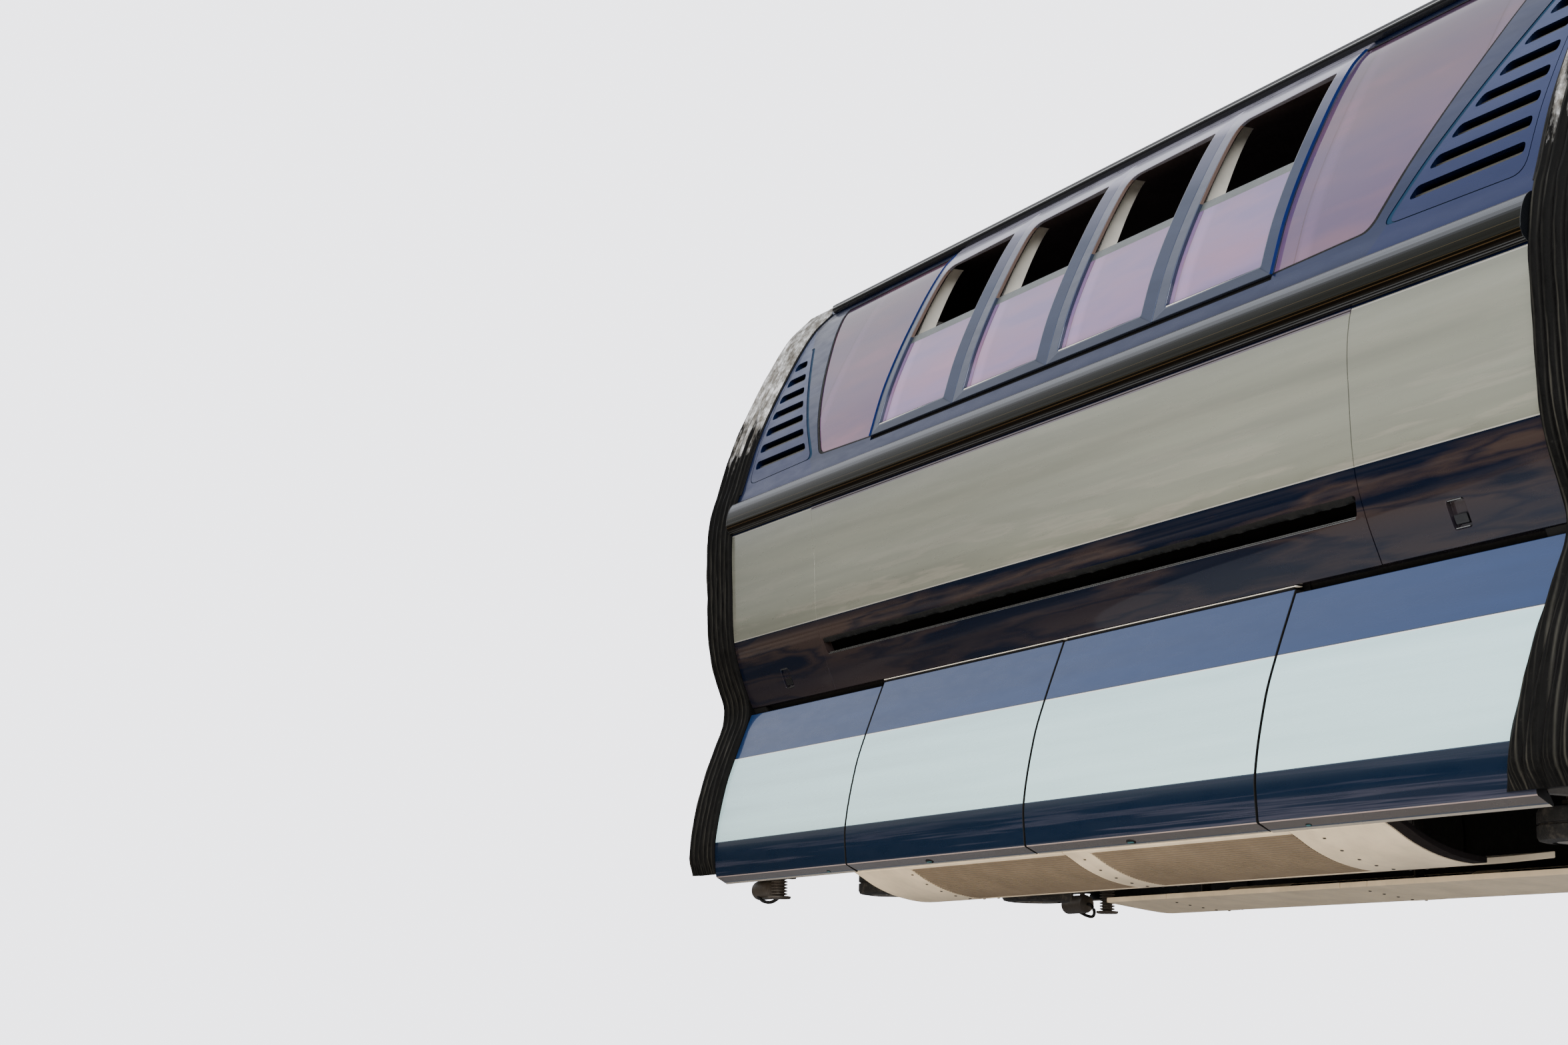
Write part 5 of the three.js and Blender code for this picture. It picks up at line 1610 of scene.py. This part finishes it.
def end_wall_fittings(end_name, end):
    parts = []
    for y in (-0.62, 0.62):
        parts.append(block(*between(end, WALL_FACE, BODY_END + 0.030), y - 0.030, y + 0.030, 0.30, 2.25))
        bolt = [(0, 0), (0.010, 0), (0.010, end * 0.036), (0, end * 0.036)]
        parts += [turned(bolt, 6, "X", (end * BODY_END, y, z)) for z in steps(0.36, 2.18, 13)]
    for z in (0.62, 1.30, 1.98):
        half = side_width(z) - 0.12
        x0, x1 = between(end, WALL_FACE, BODY_END + 0.022)
        parts.append(block(x0, x1, -half, half, z - 0.022, z + 0.022, 0.005))
    piece(smooth(join(parts), 35), f"end_wall_ribs_{end_name}", "steel")
    for number, y in enumerate((-0.33, 0.33)):
        case = block(*between(end, WALL_FACE, BODY_END + 0.075), y - 0.080, y + 0.080, 0.36, 0.50, 0.010)
        plug = [(0, 0), (0.045, 0), (0.045, end * 0.045), (0.034, end * 0.060), (0, end * 0.060)]
        jumper = join([case, turned(plug, 24, "X", (end * (BODY_END + 0.070), y, 0.43))])
        piece(smooth(jumper, 35), f"jumper_box_{end_name}_{number + 1}", "trim")
    eye = turned(DRAWBAR_EYE, 36, "Z", (end * 3.462, 0, 0.290))
    piece(smooth(eye, 35), f"drawbar_eye_{end_name}", "axle")


# CAD nodes that stay, with their finish

NODE_LOOKS = {
    "underframe": "steel", "floor_deck": "floor", "end_wall_left": "steel", "end_wall_right": "steel",
    "wheel_box_left": "floor", "wheel_box_right": "floor",
}


def dress_nodes():
    for node, look in NODE_LOOKS.items():
        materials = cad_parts[node].data.materials
        materials.clear()
        materials.append(LOOKS[look][0])


# Stage, light and camera

FLOOR_PLACE, FLOOR_RADIUS = (3.2, -2.4, -1.900), 9.2
CAMERA_PLACE = (10.0686, -7.2642, -1.6194)
CAMERA_HEADING, CAMERA_PITCH, CAMERA_ROLL = 154.311, 10.793, 1.237
FOCAL_PIXELS, PHOTO_WIDTH, SENSOR = 4006.5, 2352, 36.0
SKY_LOW, SKY_HIGH = -0.5, 1.0
# columns: height, colour
SKY = (
    (-0.50, (0.25, 0.24, 0.22)), (-0.30, (0.08, 0.07, 0.06)), (-0.16, (0.030, 0.028, 0.026)),
    (0.04, (0.022, 0.026, 0.028)), (0.08, (0.10, 0.11, 0.10)), (0.14, (0.45, 0.46, 0.43)),
    (0.24, (0.85, 0.86, 0.88)), (0.55, (1.15, 1.16, 1.22)), (1.0, (1.25, 1.27, 1.35)),
)
CLOUDS = [(0.50, 0.0), (0.60, (0.20, 0.155, 0.125)), (0.66, (0.34, 0.28, 0.23)), (0.70, (0.10, 0.085, 0.075))]
CLOUD_SHARE = ((-0.30, 0.0), (-0.20, 1.0), (0.00, 1.0), (0.05, 0.0))


def camera():
    heading, pitch, roll = (math.radians(a) for a in (CAMERA_HEADING, CAMERA_PITCH, CAMERA_ROLL))
    reach = math.cos(pitch)
    forward = Vector((reach * math.cos(heading), reach * math.sin(heading), math.sin(pitch)))
    level = Vector((math.sin(heading), -math.cos(heading), 0))
    upright = level.cross(forward)
    right = level * math.cos(roll) + upright * math.sin(roll)
    up = upright * math.cos(roll) - level * math.sin(roll)
    data = bpy.data.cameras.new("camera")
    data.sensor_width = SENSOR
    data.lens = FOCAL_PIXELS * SENSOR / PHOTO_WIDTH
    data.clip_end = 200
    obj = put_in_scene("camera", data)
    obj.matrix_world = Matrix.Translation(CAMERA_PLACE) @ Matrix((right, up, -forward)).transposed().to_4x4()
    bpy.context.scene.camera = obj


def floor_finish():
    """Pale matt floor whose edge fades into the backdrop. It throws less light at the car than it shows."""
    made, tree, shader = material("studio_floor")
    place = tree.nodes.new("ShaderNodeTexCoord").outputs["Object"]
    middle = put(tree, tree.nodes.new("ShaderNodeVectorMath"), {0: place, 1: FLOOR_PLACE})
    middle.operation = "DISTANCE"
    reach = share_of(tree, middle.outputs["Value"], 0, FLOOR_RADIUS)
    seen = tree.nodes.new("ShaderNodeLightPath").outputs["Is Camera Ray"]
    bounced = ramp(tree, reach, [(0.35, 0.45), (1.0, 0.20)])
    put(tree, shader, {"Base Color": mix(tree, seen, bounced, (0.80, 0.80, 0.82)), "Roughness": 0.9,
                       "Specular IOR Level": 0.2})
    faded = mix(tree, seen, (0, 0, 0), ramp(tree, reach, [(0.55, 0.0), (0.98, 1.0)]))
    clear = tree.nodes.new("ShaderNodeBsdfTransparent").outputs[0]
    blend = put(tree, tree.nodes.new("ShaderNodeMixShader"), {0: faded, 1: shader.outputs[0], 2: clear})
    put(tree, tree.nodes["Material Output"], {"Surface": blend.outputs[0]})
    return made


def stage():
    x, y, z = FLOOR_PLACE
    bm = bmesh.new()
    bm.faces.new([bm.verts.new((x + FLOOR_RADIUS * math.cos(a), y + FLOOR_RADIUS * math.sin(a), z))
                  for a in turns(96)])
    floor = new_object(bm)
    floor.name = "studio_floor"
    floor.data.materials.append(floor_finish())
    return floor


def area_light(name, place, target, size, power, colour):
    data = bpy.data.lights.new(name, "AREA")
    data.shape = "RECTANGLE"
    data.size, data.size_y = size
    data.energy = power
    data.color = colour
    obj = put_in_scene(name, data)
    obj.location = place
    obj.rotation_euler = (Vector(target) - Vector(place)).to_track_quat("-Z", "Y").to_euler()
    return obj


def sky_light():
    """Pale backdrop for the camera; for reflections a sky over dark ground with low brown clouds."""
    world = bpy.data.worlds.new("studio")
    bpy.context.scene.world = world
    world.use_nodes = True
    tree = world.node_tree

    def by_height(bands):
        return bands_of(tree, bands, SKY_LOW, SKY_HIGH, "LINEAR", "Generated")

    drift = noise(tree, (2.2, 2.2, 17), 1.3, 5, 0.5, "Generated")
    sky = by_height(SKY)
    sky = mix(tree, by_height(CLOUD_SHARE), sky, mix(tree, 1.0, sky, ramp(tree, drift, CLOUDS), "ADD"))
    seen = tree.nodes.new("ShaderNodeLightPath").outputs["Is Camera Ray"]
    put(tree, tree.nodes["Background"], {"Color": mix(tree, seen, sky, (3.3, 3.3, 3.5)), "Strength": 1.0})


def studio_light(floor):
    sky_light()
    area_light("behind_camera", (13, -12, 7), (0, 0, 0.5), (14, 9), 3000, (1.0, 0.98, 0.95))
    not_lit = bpy.data.collections.new("not_lit_from_below")
    not_lit.objects.link(floor)
    not_lit.collection_objects[0].light_linking.link_state = "EXCLUDE"
    for name, y in (("under_near", -3.6), ("under_far", 3.6)):
        place = (0, y, FLOOR_PLACE[2] + 0.10)
        fill = area_light(name, place, (0, y * 0.17, -0.95), (8, 2), 300, (1.0, 0.84, 0.64))
        fill.visible_camera = False
        fill.visible_glossy = False
        fill.light_linking.receiver_collection = not_lit


def build():
    camera()
    studio_light(stage())
    middle_seat()
    for end_name, end in ENDS:
        bench(end_name, end)
    for side_name, side in SIDES:
        seam_strip(f"skirt_seam_{side_name}_middle", side, -0.030, 0.030)
    for side_name, side in SIDES:
        for make in (upper_side, window_frame, sash_glass, centre_panel):
            make(side_name, side)
        for end_name, end in ENDS:
            for make in (fixed_glass, end_panel, skirts):
                make(side_name, side, end_name, end)
        belly_pan(side_name, side)
        wall_lining(side_name, side)
    mouldings()
    roof()
    ceiling()
    end_lining()
    for end_name, end in ENDS:
        for make in (bellows, bogie, door_leaf, end_wall_fittings):
            make(end_name, end)
    dress_nodes()


build()
bpy.context.view_layer.update()
